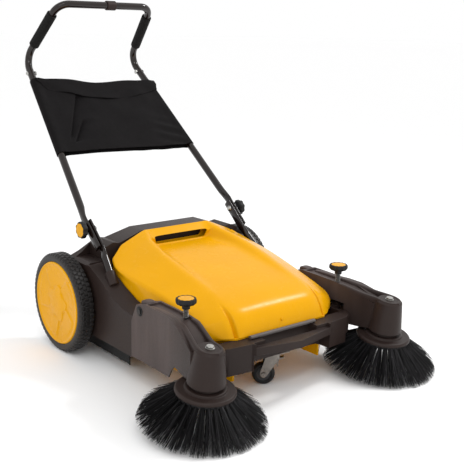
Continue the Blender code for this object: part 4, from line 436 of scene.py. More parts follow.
def add(tree, kind, output, inputs=None, **settings):
    """Adds a node with its settings and returns its output, if it has one. An input, by its name or
    its place, is linked where it is given a socket, and else set to the value."""
    made = tree.nodes.new("ShaderNode" + kind)
    for name, value in settings.items():
        setattr(made, name, value)
    for name, value in (inputs or {}).items():
        if isinstance(value, bpy.types.NodeSocket):
            tree.links.new(value, made.inputs[name])
        else:
            made.inputs[name].default_value = value
    return None if output is None else made.outputs[output]


def begin(name):
    """A new material, its empty tree and the coordinates of the piece."""
    material = bpy.data.materials.new(name)
    material.use_nodes = True
    tree = material.node_tree
    tree.nodes.clear()
    return material, tree, add(tree, "TexCoord", "Object")


def complete(material, inputs):
    """The material, ended by its shader with these inputs."""
    tree = material.node_tree
    shader = add(tree, "BsdfPrincipled", "BSDF", inputs)
    add(tree, "OutputMaterial", None, {"Surface": shader})
    return material


def lumpy(place, size, detail=2.0, rough=0.5):
    """The inputs of a noise whose lumps are about size millimetres across."""
    return {"Vector": place, "Scale": 0.5 / (size * MM), "Detail": detail, "Roughness": rough}


def between(value, low, high, least=0.0, most=1.0):
    """The inputs that take a value from low to high to a range from least to most."""
    return {"Value": value, "From Min": low, "From Max": high, "To Min": least, "To Max": most}


def patchy(tree, place, lumps, cut):
    """A share that varies in soft patches: a noise of such lumps, cut to a range."""
    noise = add(tree, "TexNoise", "Fac", lumpy(place, *lumps))
    return add(tree, "MapRange", "Result", between(noise, *cut))


def layered(tree, tone, *layers):
    """A colour with others laid over it in turn, each given as its share and the colour."""
    for share, over in layers:
        inputs = {"Factor": share, UNDER: tone, OVER: over}
        tone = add(tree, "Mix", MIXED, inputs, data_type="RGBA")
    return tone


def surface(name, shades, grain, rough, relief=0, values=None, patches=None, peel=None,
            overlay=None):
    """A material whose colour runs between two shades over soft patches, given by their lumps and
    cut, or over its grain where it has none. The overlay gives the layers that lie on it. The
    grain, cut to rough, is the roughness, and its bump stands up by relief metres, or that of the
    peel where there is one. Lumps, grain and peel are a noise's size in millimetres, its detail
    and its roughness; a cut is the values it runs between and what they become."""
    material, tree, place = begin(name)
    fine = add(tree, "TexNoise", "Fac", lumpy(place, *grain))
    share = patchy(tree, place, *patches) if patches else fine
    tone = layered(tree, shades[0], (share, shades[1]), *(overlay(tree, place) if overlay else ()))
    inputs = {**(values or {}), "Base Color": tone,
              "Roughness": add(tree, "MapRange", "Result", between(fine, *rough))}
    if relief:
        height = add(tree, "TexNoise", "Fac", lumpy(place, *peel)) if peel else fine
        inputs["Normal"] = add(tree, "Bump", "Normal", {"Height": height, "Distance": relief})
    return complete(material, inputs)


def moulded_yellow():
    """Moulded ABS from a polished mould: a clear gloss over a warm yellow that is faintly uneven,
    duller in patches, with the slow ripple of a large moulding in its highlights."""
    return surface("yellow ABS, moulded", (tint("yellow", 0.96), tint("yellow", 1.03)),
                   grain=(14, 3), rough=(0.35, 0.7, 0.22, 0.30), relief=0.03 * MM,
                   values={SPECULAR: 0.11}, patches=((70, 3), SOFT_CUT), peel=(8, 1))


def moulded_brown(name="brown-grey polypropylene, grained", code="brown", sheen_layer=None):
    """Moulded polypropylene with a spark-eroded grain: a soft sheen and paler dusty patches, with a
    painted sheen laid over them where a sheen layer is given. The grain is drawn at 2 mm, because the
    real one is too fine to show."""
    def overlay(tree, place):
        """The dust, and over it the painted sheen layer where there is one."""
        dust = patchy(tree, place, (9, 5, 0.7), (0.56, 0.8, 0, 0.35))
        return [(dust, tint(code, 1.35))] + ([sheen_layer(tree, place)] if sheen_layer else [])
    return surface(name, (tint(code, 0.9), tint(code, 1.08)), grain=(2, 4, 0.6),
                   rough=(*SOFT_CUT, 0.38, 0.5), relief=0.12 * MM, values={SPECULAR: 0.18},
                   patches=((60, 4), SOFT_CUT), overlay=overlay)


def painted_arm_sheen(tree, place):
    """Painted sheen on the arms: a paler colour in upright streaks that stands in for a broad
    reflection, strongest on the long wall and gone towards the cup."""
    upright = add(tree, "Mapping", "Vector", {"Vector": place, "Scale": (1, 1, 0.12)})
    streaks = patchy(tree, upright, (15, 6, 0.6), (*SOFT_CUT, 0.6, 1.0))
    along = add(tree, "SeparateXYZ", "Y", {"Vector": place})
    reach = between(along, AXLE_Y - 0.600, AXLE_Y - 0.480, 0.0, 0.34)
    fading = add(tree, "MapRange", "Result", reach)
    share = add(tree, "Math", "Value", {0: streaks, 1: fading}, operation="MULTIPLY")
    # The pale colour of the painted sheen
    return share, tint("7A6C69")


def rubber(name, code, roughness):
    """Vulcanised rubber: matt, with a dusty bloom in patches and a fine skin left by its mould."""
    return surface(name, (tint(code, 0.85), tint(code, 1.3)), grain=(1.5, 3),
                   rough=(*SOFT_CUT, roughness - 0.08, roughness + 0.06), relief=0.1 * MM,
                   values={SPECULAR: 0.35}, patches=((18, 5, 0.65), (0.35, 0.75)))


def powder_coat():
    """Powder coat on steel tube: a thick glossy dark brown film with a faint orange peel."""
    return surface("dark brown powder coat", (tint("tube", 0.88), tint("tube", 1.12)),
                   grain=(4, 1), rough=(*SOFT_CUT, 0.3, 0.36), relief=0.008 * MM,
                   values={SPECULAR: 0.04, "Coat Weight": 0.8, "Coat Roughness": 0.03},
                   patches=((25, 3), SOFT_CUT))


def zinc_plate(name="bright zinc plated steel", code="zinc"):
    """Zinc plate on steel: a cool metal, darker in patches and broken up by fine wear."""
    return surface(name, (tint(code), tint(code, 0.75)), grain=(1.2, 6, 0.7),
                   rough=(*SOFT_CUT, 0.2, 0.42), relief=0.05 * MM, values={"Metallic": 1.0},
                   patches=((7, 3), (0.4, 0.7)))


def spring_steel():
    """Bare spring wire: grey, unevenly oiled, bright along its highlights."""
    return surface("grey oiled spring steel", (tint("5B5957"), tint("8F8C88")), grain=(3, 3),
                   rough=(*SOFT_CUT, 0.25, 0.4), values={"Metallic": 0.8})


def waxy_nylon(name="grey nylon, machined", code="nylon"):
    """Nylon: waxy, with a fine unevenness in its shade, its sheen and its skin."""
    return surface(name, (tint(code, 0.85), tint(code, 1.15)), grain=(1.6, 4),
                   rough=(*SOFT_CUT, 0.4, 0.55), relief=0.08 * MM, values={"IOR": 1.53})


def cell_foam():
    """Closed-cell foam rubber: very matt, pitted by its cells, which are drawn at 2 mm, coarser
    than real, so that they show."""
    material, tree, place = begin("black foam rubber, closed cell")
    cells = {"Vector": place, "Scale": 0.5 / (2 * MM)}
    pits = add(tree, "TexVoronoi", "Distance", cells)
    share = add(tree, "MapRange", "Result", between(pits, 0.1, 0.8))
    return complete(material, {
        SPECULAR: 0.25,
        "Base Color": layered(tree, tint("foam", 1.35), (share, tint("foam", 0.7))),
        "Roughness": add(tree, "MapRange", "Result", between(pits, 0, 1, 0.78, 0.96)),
        "Normal": add(tree, "Bump", "Normal", {"Height": pits, "Distance": 0.3 * MM})})


def woven_cloth():
    """Woven nylon with a backing: two sets of crossing bands for the weave, with painted shade
    darkening the gaps between them, soft creases, and a pale nap in patches that shows most where the
    cloth turns away."""
    material, tree, place = begin("black nylon cloth, plain weave")
    flat = add(tree, "UVMap", "UV", uv_map="cloth")
    bands = {"Vector": flat, "Scale": math.pi / 10 / WEAVE_STEP, "Distortion": 0.4, "Detail": 1.0,
             "Detail Scale": 1.0}
    threads = [add(tree, "TexWave", "Fac", bands, wave_type="BANDS", bands_direction=direction)
               for direction in ("X", "Y")]
    weave = add(tree, "Math", "Value", dict(enumerate(threads)), operation="MAXIMUM")
    # The gaps between the bands are darkened: painted shade in the weave's hollows, where its bump is
    # low
    painted_gap_shade = add(tree, "MapRange", "Result", between(weave, 0.2, 1, 0.3, 0))
    nap = patchy(tree, place, (22, 5, 0.65), (0.3, 0.75))
    folds = add(tree, "TexNoise", "Fac", lumpy(place, 16, 3, 0.55))
    creases = add(tree, "Bump", "Normal", {"Height": folds, "Distance": 1.6 * MM, "Strength": 0.8})
    return complete(material, {
        SPECULAR: 0.1, "Roughness": 0.85, "Sheen Weight": 0.012, "Sheen Roughness": 0.5,
        "Base Color": layered(tree, tint("cloth", 0.8), (nap, tint("cloth", 1.25)),
                              (painted_gap_shade, tint("cloth", 0.4))),
        "Normal": add(tree, "Bump", "Normal", {"Height": weave, "Distance": 0.2 * MM,
                                               "Strength": 0.6, "Normal": creases})})


def nylon_bristles():
    """Extruded nylon bristle: black and a little glossy, each one lighter or darker by its shade value:
    partly a random tone, as worn tips are, and on the side brushes partly painted sheen, lighter
    streaks that stand in for highlights."""
    material, tree, place = begin("black nylon bristle")
    shade = add(tree, "Attribute", "Fac", attribute_name="shade")
    streak = add(tree, "TexNoise", "Fac", lumpy(place, 4, 3))
    return complete(material, {
        SPECULAR: 0.12,
        # The shade value lightens a bristle: a random tone, and on the side brushes painted sheen
        "Base Color": layered(tree, tint("bristle", 0.6), (shade, tint("5A585B"))),
        "Roughness": add(tree, "MapRange", "Result", between(streak, *SOFT_CUT, 0.36, 0.6)),
        "Normal": add(tree, "Bump", "Normal", {"Height": streak, "Distance": 0.08 * MM})})


def pale_floor():
    """A plain matt floor: almost white, with no highlight of its own."""
    material, tree, place = begin("pale floor, matt")
    cloudy = add(tree, "TexNoise", "Fac", lumpy(place, 400))
    tone = layered(tree, tint("floor", 0.995), (cloudy, tint("floor")))
    return complete(material, {"Base Color": tone, "Roughness": 0.9, SPECULAR: 0.1})


# What makes each look, with its name and its colour where one maker makes several
MAKERS = {
    "yellow_plastic": (moulded_yellow,),
    "dark_plastic": (moulded_brown,),
    # Painted sheen on the arms: their brown-grey with a paler streaked layer that stands in for a
    # reflection
    "sheen_painted_plastic": (moulded_brown, "brown-grey polypropylene, wiped", "brown", painted_arm_sheen),
    # A paler brown-grey for the bar that the hopper's nose rests on
    "pale_rest_plastic": (moulded_brown, "brown-grey polypropylene, rubbed pale", "5C5654"),
    "black_rubber": (rubber, "black rubber, moulded", "rubber", 0.6),
    "grey_rubber": (rubber, "grey-black tyre rubber", "tyre", 0.46),
    "painted_tube": (powder_coat,),
    "zinc_steel": (zinc_plate,),
    "spring_steel": (spring_steel,),
    "black_steel": (zinc_plate, "blackened steel", "3B3938"),
    # A darker copy of the zinc: painted shade on the caster's steel parts
    "shaded_zinc": (zinc_plate, "zinc plated steel, dulled", "86807A"),
    "dark_nylon": (waxy_nylon, "dark nylon, moulded", "2C2B2C"),
    "black_foam": (cell_foam,),
    "black_cloth": (woven_cloth,),
    "bristle": (nylon_bristles,),
    "grey_nylon": (waxy_nylon,),
}
FINISHES = {}


def finish(look):
    """The material of a look, made once."""
    if look not in FINISHES:
        maker, *options = MAKERS[look]
        FINISHES[look] = maker(*options)
    return FINISHES[look]


# Hopper

# Each row is a line across the lid, from the rear foot to the front foot, given as (x, y, z) at the
# middle, the edge of the sunk panel, the ridge, the crease and the sill
LID_FOOT = 0.165
LID_ROWS = (
    ((0, -0.0935, LID_FOOT), (0.100, -0.0935, LID_FOOT), (0.112, -0.0935, LID_FOOT),
     (0.190, -0.0985, LID_FOOT), (0.208, -0.112, LID_FOOT)),
    ((0, -0.0935, 0.342), (0.100, -0.0935, 0.342), (0.112, -0.0935, 0.342),
     (0.190, -0.0985, 0.309), (0.208, -0.112, 0.295)),
    ((0, -0.126, 0.318), (0.096, -0.126, 0.318), (0.118, -0.130, 0.333),
     (0.236, -0.124, 0.282), (0.238, -0.135, 0.264)),
    ((0, -0.120, 0.297), (0.090, -0.120, 0.297), (0.121, -0.145, 0.329),
     (0.247, -0.150, 0.271), (0.242, -0.155, 0.256)),
    ((0, -0.165, 0.295), (0.103, -0.165, 0.295), (0.127, -0.176, 0.324),
     (0.252, -0.176, 0.264), (0.243, -0.178, 0.252)),
    ((0, -0.224, 0.292), (0.111, -0.224, 0.292), (0.139, -0.240, 0.309),
     (0.249, -0.238, 0.256), (0.243, -0.238, 0.226)),
    ((0, -0.300, 0.280), (0.113, -0.300, 0.279), (0.142, -0.305, 0.293),
     (0.240, -0.317, 0.244), (0.243, -0.317, 0.205)),
    ((0, -0.395, 0.263), (0.117, -0.395, 0.262), (0.141, -0.401, 0.266),
     (0.230, -0.400, 0.229), (0.243, -0.400, 0.200)),
    ((0, -0.479, 0.246), (0.120, -0.479, 0.244), (0.143, -0.479, 0.243),
     (0.226, -0.470, 0.213), (0.242, -0.470, 0.190)),
    ((0, -0.537, 0.223), (0.120, -0.537, 0.223), (0.149, -0.531, 0.221),
     (0.221, -0.512, 0.200), (0.233, -0.508, 0.183)),
    ((0, -0.558, 0.196), (0.120, -0.558, 0.196), (0.148, -0.553, 0.194),
     (0.205, -0.530, 0.185), (0.217, -0.524, 0.176)),
    ((0, -0.568, LID_FOOT), (0.120, -0.568, LID_FOOT), (0.152, -0.5675, LID_FOOT),
     (0.182, -0.550, LID_FOOT), (0.194, -0.539, LID_FOOT)),
)
ROW_ROUNDING = (0, 0.006, 0.003, 0.008, 0.02, 0.03, 0.045, 0.045, 0.04, 0.024, 0.018, 0)
COLUMN_ROUNDING = (0, 0.006, 0.010, 0.018, 0.015, 0.06, 0.015, 0.018, 0.010, 0.006, 0)
SLOT_LOW = (-0.091, -0.136, 0.3000)
SLOT_HIGH = (0.091, -0.086, 0.3235)
SLOT_POWER = 9
SLOT_SPLAY = 0.05
# The line across the nose, counted from the front, by which the grooves' columns are found
NOSE_ROW = -10
NOSE_GROOVE = 0.1495
NOSE_BAND = (NOSE_GROOVE - 0.010, NOSE_GROOVE + 0.012, 26)
NOSE_GROOVE_HALF = 0.0034
NOSE_GROOVE_DEPTH = 0.0100
NOSE_STEP = 0.0030
PIP_PLACE = (0, -0.5625, 0.184)
PIP_RADIUS = 0.0042


def refined(skin):
    """More columns where the nose grooves run: the columns' places are spaced evenly through the
    grooves' band and the points between them found along straight lines."""
    index = np.arange(skin.shape[1], dtype=float)
    bands = [np.interp(side * np.linspace(*NOSE_BAND), skin[NOSE_ROW, :, 0], index)
             for side in SIDES.values()]
    places = np.unique(np.round(np.concatenate((index, *bands)), 4))
    low = np.clip(places.astype(int), 0, len(index) - 2)
    share = (places - low)[None, :, None]
    return skin[:, low] * (1 - share) + skin[:, low + 1] * share


def lid_surface():
    """The lid's outer skin: the rows' corners rounded down the lid, then across it. A narrow
    groove is pressed into the nose on either side."""
    rows = []
    for middle, *half in LID_ROWS:
        half.append((*half[-1][:2], LID_FOOT))
        rows.append([(-x, y, z) for x, y, z in reversed(half)] + [middle] + half)
    down = rounded(rows, ROW_ROUNDING, 9, 5)
    skin = refined(rounded(down.transpose(1, 0, 2), COLUMN_ROUNDING, 13, 6).transpose(1, 0, 2))
    front = smoothstep(-0.485, -0.535, skin[..., 1])
    outward = np.abs(skin[..., 0]) - NOSE_GROOVE
    groove = np.exp(-(outward / NOSE_GROOVE_HALF) ** 2)
    step = smoothstep(-0.001, 0.002, outward) * smoothstep(0.022, 0.004, outward)
    skin[..., 1] += (NOSE_GROOVE_DEPTH * groove + NOSE_STEP * step) * front
    return skin


def slot_cutter(steps=48):
    """A prism along Y whose outline is a superellipse, |x/a|^n + |z/b|^n = 1, wider at its top."""
    low, high = np.array(SLOT_LOW), np.array(SLOT_HIGH)
    centre, half = (low + high) / 2, (high - low) / 2
    x = half[0] * squared(np.cos(circle(steps)), 2 / SLOT_POWER)
    z = half[2] * squared(np.sin(circle(steps)), 2 / SLOT_POWER)
    x = x * (1 + SLOT_SPLAY * z / half[2])
    points = [np.column_stack((centre[0] + x * s, np.full(steps, y), centre[2] + z * s))
              for y, s in ((low[1], 0), (low[1], 1), (high[1], 1), (high[1], 0))]
    return np.concatenate(points), grid_faces(4, steps, False, True)


class SWEEPER_OT_hopper(bpy.types.Operator):
    """Shape the hopper's lid and finish its tub"""
    bl_idname = "sweeper.hopper"
    bl_label = "Hopper"

    def execute(self, context):
        skin = lid_surface()
        lid = new_piece("hopper_cover", (skin, grid_faces(*skin.shape[:2])), closed=False)
        if lid.data.polygons[len(lid.data.polygons) // 2].normal.z < 0:
            lid.data.flip_normals()
        cutter = new_piece("slot_cutter", slot_cutter())
        modify(lid, "Wall", "SOLIDIFY", thickness=sizes().lid_wall, offset=-1.0)
        modify(lid, "Handle slot", "BOOLEAN", operation="DIFFERENCE", solver="EXACT",
               use_hole_tolerant=True, object=cutter)
        apply_modifiers(lid)
        bpy.data.objects.remove(cutter)
        lid.data.shade_smooth()
        lid.data.set_sharp_from_angle(angle=math.radians(48))
        dress(lid, "hopper", "yellow_plastic", "hopper_lid")
        dome = [(0, 0.0036), (PIP_RADIUS * 0.7, 0.0030), (PIP_RADIUS, -0.001), (0, -0.001)]
        facing = Matrix.Translation(PIP_PLACE) @ Matrix.Rotation(math.radians(75), 4, "X")
        dress(turned("hopper_pip", dome, 0.0006, 4, 1, 24, facing), "hopper", "yellow_plastic")
        dress(copied("hopper_tub", "dirt_tub", 0.0012), "hopper", "yellow_plastic", "hopper_tub")
        return {"FINISHED"}


# Chassis, bumper and arms

# The bar that the hopper's nose rests on, from left to right
REST_ENDS = ((-0.119, -0.5785, 0.1650), (0.101, -0.5785, 0.1650))
REST_SECTION = (0.0048, 0.0064)

# Each station of a rib is (x, y) on its centre line, half its width, its top and its foot
ARM_RIBS = {
    "outer_rib": (
        (0.2885, -0.395, 0.0085, 0.2290, 0.215), (0.2880, -0.430, 0.0090, 0.2312, 0.215),
        (0.2880, -0.482, 0.0090, 0.2302, 0.212), (0.2985, -0.545, 0.0090, 0.2252, 0.190),
        (0.3150, -0.598, 0.0090, 0.2135, 0.150), (0.3280, -0.634, 0.0070, 0.2095, 0.170),
        (0.3325, -0.658, 0.0045, 0.2062, 0.195), (0.3245, -0.678, 0.0040, 0.2035, 0.193),
        (0.3030, -0.686, 0.0040, 0.2025, 0.192),
    ),
    "inner_rib": (
        (0.2525, -0.520, 0.0050, 0.2260, 0.215), (0.2535, -0.545, 0.0055, 0.2254, 0.205),
        (0.2690, -0.598, 0.0065, 0.2135, 0.175), (0.2815, -0.634, 0.0060, 0.2095, 0.170),
        (0.2778, -0.658, 0.0045, 0.2062, 0.195), (0.2858, -0.678, 0.0040, 0.2035, 0.193),
        (0.3070, -0.686, 0.0040, 0.2025, 0.192),
    ),
    "pad": (
        (0.2750, -0.350, 0.0120, 0.2305, 0.220), (0.2750, -0.353, 0.0135, 0.2342, 0.220),
        (0.2750, -0.378, 0.0135, 0.2348, 0.220), (0.2750, -0.381, 0.0120, 0.2310, 0.220),
    ),
}


def rib_mesh(side, stations):
    """A rib along an arm: rounded rectangles, |a|^n + |b|^n = 1, set across a smooth line through
    the stations, with flat ends."""
    line = rounded(stations, 0.02, 6, 3)
    step = np.linalg.norm(np.diff(line[:, :2], axis=0), axis=1)
    line = line[np.concatenate(([True], step > MERGE))]
    centre = line[:, :2] * (side, 1)
    heading = unit(np.gradient(centre, axis=0))
    across = np.column_stack((heading[:, 1], -heading[:, 0]))
    turn = circle(32)
    flat = centre[:, None] + across[:, None] * (line[:, 2:3] * squared(np.cos(turn), 0.5))[..., None]
    top, foot = line[:, 3:4], line[:, 4:5]
    height = foot + (top - foot) * (squared(np.sin(turn), 0.4) * 0.5 + 0.5)
    points = np.concatenate((flat, height[..., None]), -1)
    tips = points[[0, -1]].mean(1, keepdims=True) + np.zeros((2, len(turn), 1))
    points = np.concatenate((tips[:1], points, tips[1:]))
    return points, grid_faces(len(points), len(turn), False, True)


class SWEEPER_OT_shells(bpy.types.Operator):
    """Round the edges of the chassis, the bumper and the side arms"""
    bl_idname = "sweeper.shells"
    bl_label = "Chassis, bumper and arms"

    def execute(self, context):
        for node, name, edge in (("chassis_shell", "chassis_hood", 0.0022),
                                 ("front_bumper", "bumper_bar", 0.0024)):
            dress(copied(node, name, edge), "chassis", "dark_plastic", node)
        rest = new_piece("hopper_rest", carried(np.linspace(*REST_ENDS, 30), REST_SECTION))
        dress(rest, "chassis", "dark_plastic", look="pale_rest_plastic")
        for name, side in SIDES.items():
            arm = f"arm_{name}"
            # The arms' covers and ribs carry the painted sheen on their long walls
            dress(copied(arm, f"arm_cover_{name}", 0.0026), arm, "dark_plastic", arm,
                  look="sheen_painted_plastic")
            for label, stations in ARM_RIBS.items():
                rib = new_piece(f"arm_{label}_{name}", rib_mesh(side, stations))
                dress(rib, arm, "dark_plastic", look="sheen_painted_plastic")
        return {"FINISHED"}


# Skirts

SKIRT_HEM = 0.004
# How much thinner than their solids the side and rear skirts are, and how far the rear one sits in
SIDE_THINNER = 0.0007
REAR_THINNER = 0.0009
REAR_INSET = 0.0003
SKIRT_WAVES = (7, 13, 29, 53, 97)
SKIRT_LEVELS = (1.0, 0.8, 0.55, 0.3, 0.12, 0.0)


def skirt(start, end, low, high, wall, seed):
    """A hanging rubber strip between two points of the plan: two faces a wall apart, its lower
    edge worn ragged by summed sines, and a slow wave in its length that grows towards the hem."""
    start, end = np.array(start), np.array(end)
    run = end - start
    out = unit(np.array((run[1], -run[0])))
    share = np.linspace(0, 1, 160)
    rag = sum(np.abs(np.sin(share * wave * math.pi + seed * (step + 1))) / (step + 1.5)
              for step, wave in enumerate(SKIRT_WAVES))
    hem = low + SKIRT_HEM * rag / rag.max()
    sway = 0.0006 * np.sin(share * 9 + seed)
    rings = []
    for edge, levels in ((0.0, SKIRT_LEVELS), (wall, SKIRT_LEVELS[::-1])):
        for level in levels:
            flat = start + share[:, None] * run + (edge + sway * level * level)[:, None] * out
            rings.append(np.column_stack((flat, high + (hem - high) * level)))
    points = np.stack(rings, 1)
    count = len(rings)
    corners = np.arange(points.size // 3).tolist()
    faces = grid_faces(len(share), count, False, True).tolist() + [corners[:count], corners[-count:]]
    return points, faces


class SWEEPER_OT_skirts(bpy.types.Operator):
    """Hang the rubber skirts with their worn lower edges"""
    bl_idname = "sweeper.skirts"
    bl_label = "Skirts"

    def execute(self, context):
        strips = []
        for name, side in SIDES.items():
            low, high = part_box(f"side_skirt_{name}")
            near = side * min(abs(low.x), abs(high.x))
            ends = [(near, low.y - AXLE_Y), (near, high.y - AXLE_Y)][::side]
            strips.append((f"side_lip_{name}", f"side_skirt_{name}", *ends, low.z, high.z,
                           high.x - low.x - SIDE_THINNER, 1 + side))
        low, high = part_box("rear_skirt")
        rear = low.y - AXLE_Y + REAR_INSET
        strips.append(("rear_lip", "rear_skirt", (high.x, rear), (low.x, rear), low.z, high.z,
                       high.y - low.y - REAR_THINNER, 4))
        for name, node, *shape in strips:
            dress(new_piece(name, skirt(*shape)), "chassis", "black_rubber", node)
        return {"FINISHED"}


# Wheels

TREAD_BLOCKS = 60
TREAD_STEPS = 12
TREAD_EDGE = 0.72
TREAD_ROW = 0.48
TREAD_POINTS = 45
# How far in from either side the wall's points end and the tread's start, and the share of half the
# width that the blocks reach to
TREAD_CUT = 0.0072
TREAD_MARGIN = 0.0075
TREAD_REACH = 0.74
TREAD_SLANT = 0.22
LUG_HEIGHT = 0.0022
TYRE_FIT = 0.0003
TYRE_INSET = 0.001


def tyre_mesh(side):
    """The tyre's section carried round the axle. Over the tread the radius rises by the tread's
    depth inside blocks: three staggered rows, split by slanted grooves. Notches run up the
    shoulders beside them."""
    size = sizes()
    outer = size.wheel_radius
    inner = size.hub_radius + TYRE_FIT
    half = size.wheel_width / 2 - TYRE_INSET
    base = outer - size.tread_depth
    wall = [(inner, half - 0.0015), (inner + 0.003, half - 0.0005), (outer - 0.011, half),
            (base - 0.0015, half - 0.0045), (base, half - 0.009)]
    section = wall + [(base, 0.0)] + [(radius, -place) for radius, place in wall[::-1]]
    line = rounded(section, 0.004, 5, 1)
    shoulder = half - TREAD_CUT
    tread = np.column_stack((np.full(TREAD_POINTS, base),
                             np.linspace(half - TREAD_MARGIN, TREAD_MARGIN - half, TREAD_POINTS)))
    line = np.concatenate((line[line[:, 1] > shoulder], tread, line[line[:, 1] < -shoulder]))
    steps = TREAD_BLOCKS * TREAD_STEPS
    angle = circle(steps)[:, None]
    place = line[:, 1][None, :] / half
    within = (place + TREAD_EDGE) / TREAD_ROW
    row = np.clip(np.floor(within), 0, 2)
    within = within - row
    across = smoothstep(0.02, 0.12, within) * smoothstep(0.98, 0.88, within)
    slant = np.where(row == 1, 0.0, TREAD_SLANT) * place + 0.5 * (row == 1)
    phase = (angle * TREAD_BLOCKS / (2 * math.pi) + slant) % 1
    along = smoothstep(0.06, 0.2, phase) * smoothstep(0.94, 0.8, phase)
    on_tread = (line[:, 0] >= base - MERGE)[None, :] * (np.abs(place) < TREAD_REACH)
    radius = line[:, 0][None, :] + size.tread_depth * across * along * on_tread
    shoulder = smoothstep(0.70, 0.80, np.abs(place)) * smoothstep(0.97, 0.88, np.abs(place))
    notch = smoothstep(0.1, 0.25, phase) * smoothstep(0.9, 0.75, phase)
    points = around(radius + LUG_HEIGHT * shoulder * notch, angle, line[:, 1])
    matrix = wheel_frame(side, AXLE_X, 0, outer)
    return turned_into(matrix, points.reshape(-1, 3)), grid_faces(steps, len(line), True, True)


RAMP_COUNT = 5
RAMP_RISE = 0.0028
BOSS_RADIUS = 0.047
BOSS_RISE = 0.0030
BOSS_EDGE = 0.0015
# How much the raised middle's radius swells, as a share, and where its swells stand
BOSS_SWELL = 0.16
BOSS_TURN = 1.2
# How strongly the ramps wind as they run outwards, the radius that this is measured by, and the
# share of a ramp at which its step down begins
RAMP_WIND = 0.35
RAMP_CORE = 0.03
RAMP_STEP = 0.955
# The radii over which the ramps rise from the dish inside, and fall to it outside
RAMP_START = (0.040, 0.052)
RAMP_END = (0.104, 0.094)
FACE_INSET = 0.0002
FACE_DEPTH = 0.0065
RING_TEETH = 32
GEAR_PITCH = 0.080
GEAR_OUT = 0.0905
GEAR_HALF = 0.00575
GEAR_BEHIND = 0.007
# The teeth: the shift of their middle from the pitch, half their height and how steep they rise
TOOTH_SHIFT = 0.0006
TOOTH_HALF = 0.0044
TOOTH_FLANK = 1.7
DISC_STEPS = 240


def disc_mesh(matrix):
    """The disc: a turned face with a proud rim and a shallow dish, in it a raised middle whose
    radius swells five times round and five ramps that wind outwards and end in a small step, and
    behind it the drum."""
    half = sizes().wheel_width / 2
    rim = sizes().hub_radius
    face = half - FACE_INSET
    outline = [
        (0, face - 0.0034), (0.016, face - 0.0034), (0.030, face - 0.0040), (0.042, face - 0.0052),
        (0.070, face - 0.0052), (0.098, face - 0.0036), (rim - 0.0075, face - 0.0016),
        (rim - 0.0055, face), (rim - 0.002, face), (rim, face - 0.0025), (rim, 0.001 - half),
        (rim - 0.0045, 0.001 - half), (rim - 0.0045, half - 0.0085), (0.020, half - 0.0085),
        (0.020, 0.004 - half), (0.0103, 0.004 - half), (0.0103, 0.012), (0, 0.012),
    ]
    reach = [0, 0.006, 0.008, 0.006, 0.02, 0.012, 0.002, 0.0012, 0.0018, 0.0018] + [0.0008] * 8
    line = rounded(outline, reach, 6, 9)
    angle = circle(DISC_STEPS)[:, None]
    radius, height = line[:, 0][None, :], line[:, 1]
    on_face = (np.arange(len(line)) < len(line) // 2) & (height > half - FACE_DEPTH)
    turns = RAMP_COUNT * angle
    ramp = (turns / (2 * math.pi) + RAMP_WIND * np.log(1 + radius / RAMP_CORE)) % 1
    ramp = ramp * smoothstep(1.0, RAMP_STEP, ramp)
    field = smoothstep(*RAMP_START, radius) * smoothstep(*RAMP_END, radius)
    boss = BOSS_RADIUS * (1 + BOSS_SWELL * np.cos(turns + BOSS_TURN))
    raised = smoothstep(boss + BOSS_EDGE, boss - BOSS_EDGE, radius)
    height = height + (RAMP_RISE * ramp * field * (1 - raised) + BOSS_RISE * raised) * on_face
    points = around(radius, angle, height).reshape(-1, 3)
    return turned_into(matrix, points), grid_faces(DISC_STEPS, len(line), True, False)


def ring_gear_mesh(side, matrix):
    """The ring of inward teeth in the drum: its inner radius falls by a clipped cosine wave, once
    for each tooth, from the gear's inner end to behind the disc's face."""
    front = sizes().wheel_width / 2 - GEAR_BEHIND
    angle = circle(DISC_STEPS)
    low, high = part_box("pinion_left" if side < 0 else "pinion_right")
    back = (abs(low.x) + abs(high.x)) / 2 - AXLE_X - GEAR_HALF
    wave = np.cos(RING_TEETH * angle + (math.pi if side < 0 else 0))
    tooth = GEAR_PITCH + TOOTH_SHIFT - TOOTH_HALF * np.clip(TOOTH_FLANK * wave, -1, 1)
    ring = np.stack([around(radius, angle, height) for radius, height in
                     ((GEAR_OUT, front), (GEAR_OUT, back), (tooth, back), (tooth, front))], 1)
    return turned_into(matrix, ring.reshape(-1, 3)), grid_faces(DISC_STEPS, 4, True, True)


class SWEEPER_OT_wheels(bpy.types.Operator):
    """Build the treaded tyres and the yellow wheel discs"""
    bl_idname = "sweeper.wheels"
    bl_label = "Wheels"

    def execute(self, context):
        for name, side in SIDES.items():
            matrix = wheel_frame(side, AXLE_X, 0, sizes().wheel_radius)
            hub = joined(disc_mesh(matrix), ring_gear_mesh(side, matrix))
            for piece, mesh, slot, node in (
                    ("treaded_tyre", tyre_mesh(side), "grey_rubber", "tyre"),
                    ("wheel_disc", hub, "yellow_plastic", "wheel_hub")):
                made = new_piece(f"{piece}_{name}", mesh, 50)
                dress(made, f"wheel_{name}", slot, f"{node}_{name}")
        return {"FINISHED"}


# Side brushes and roller

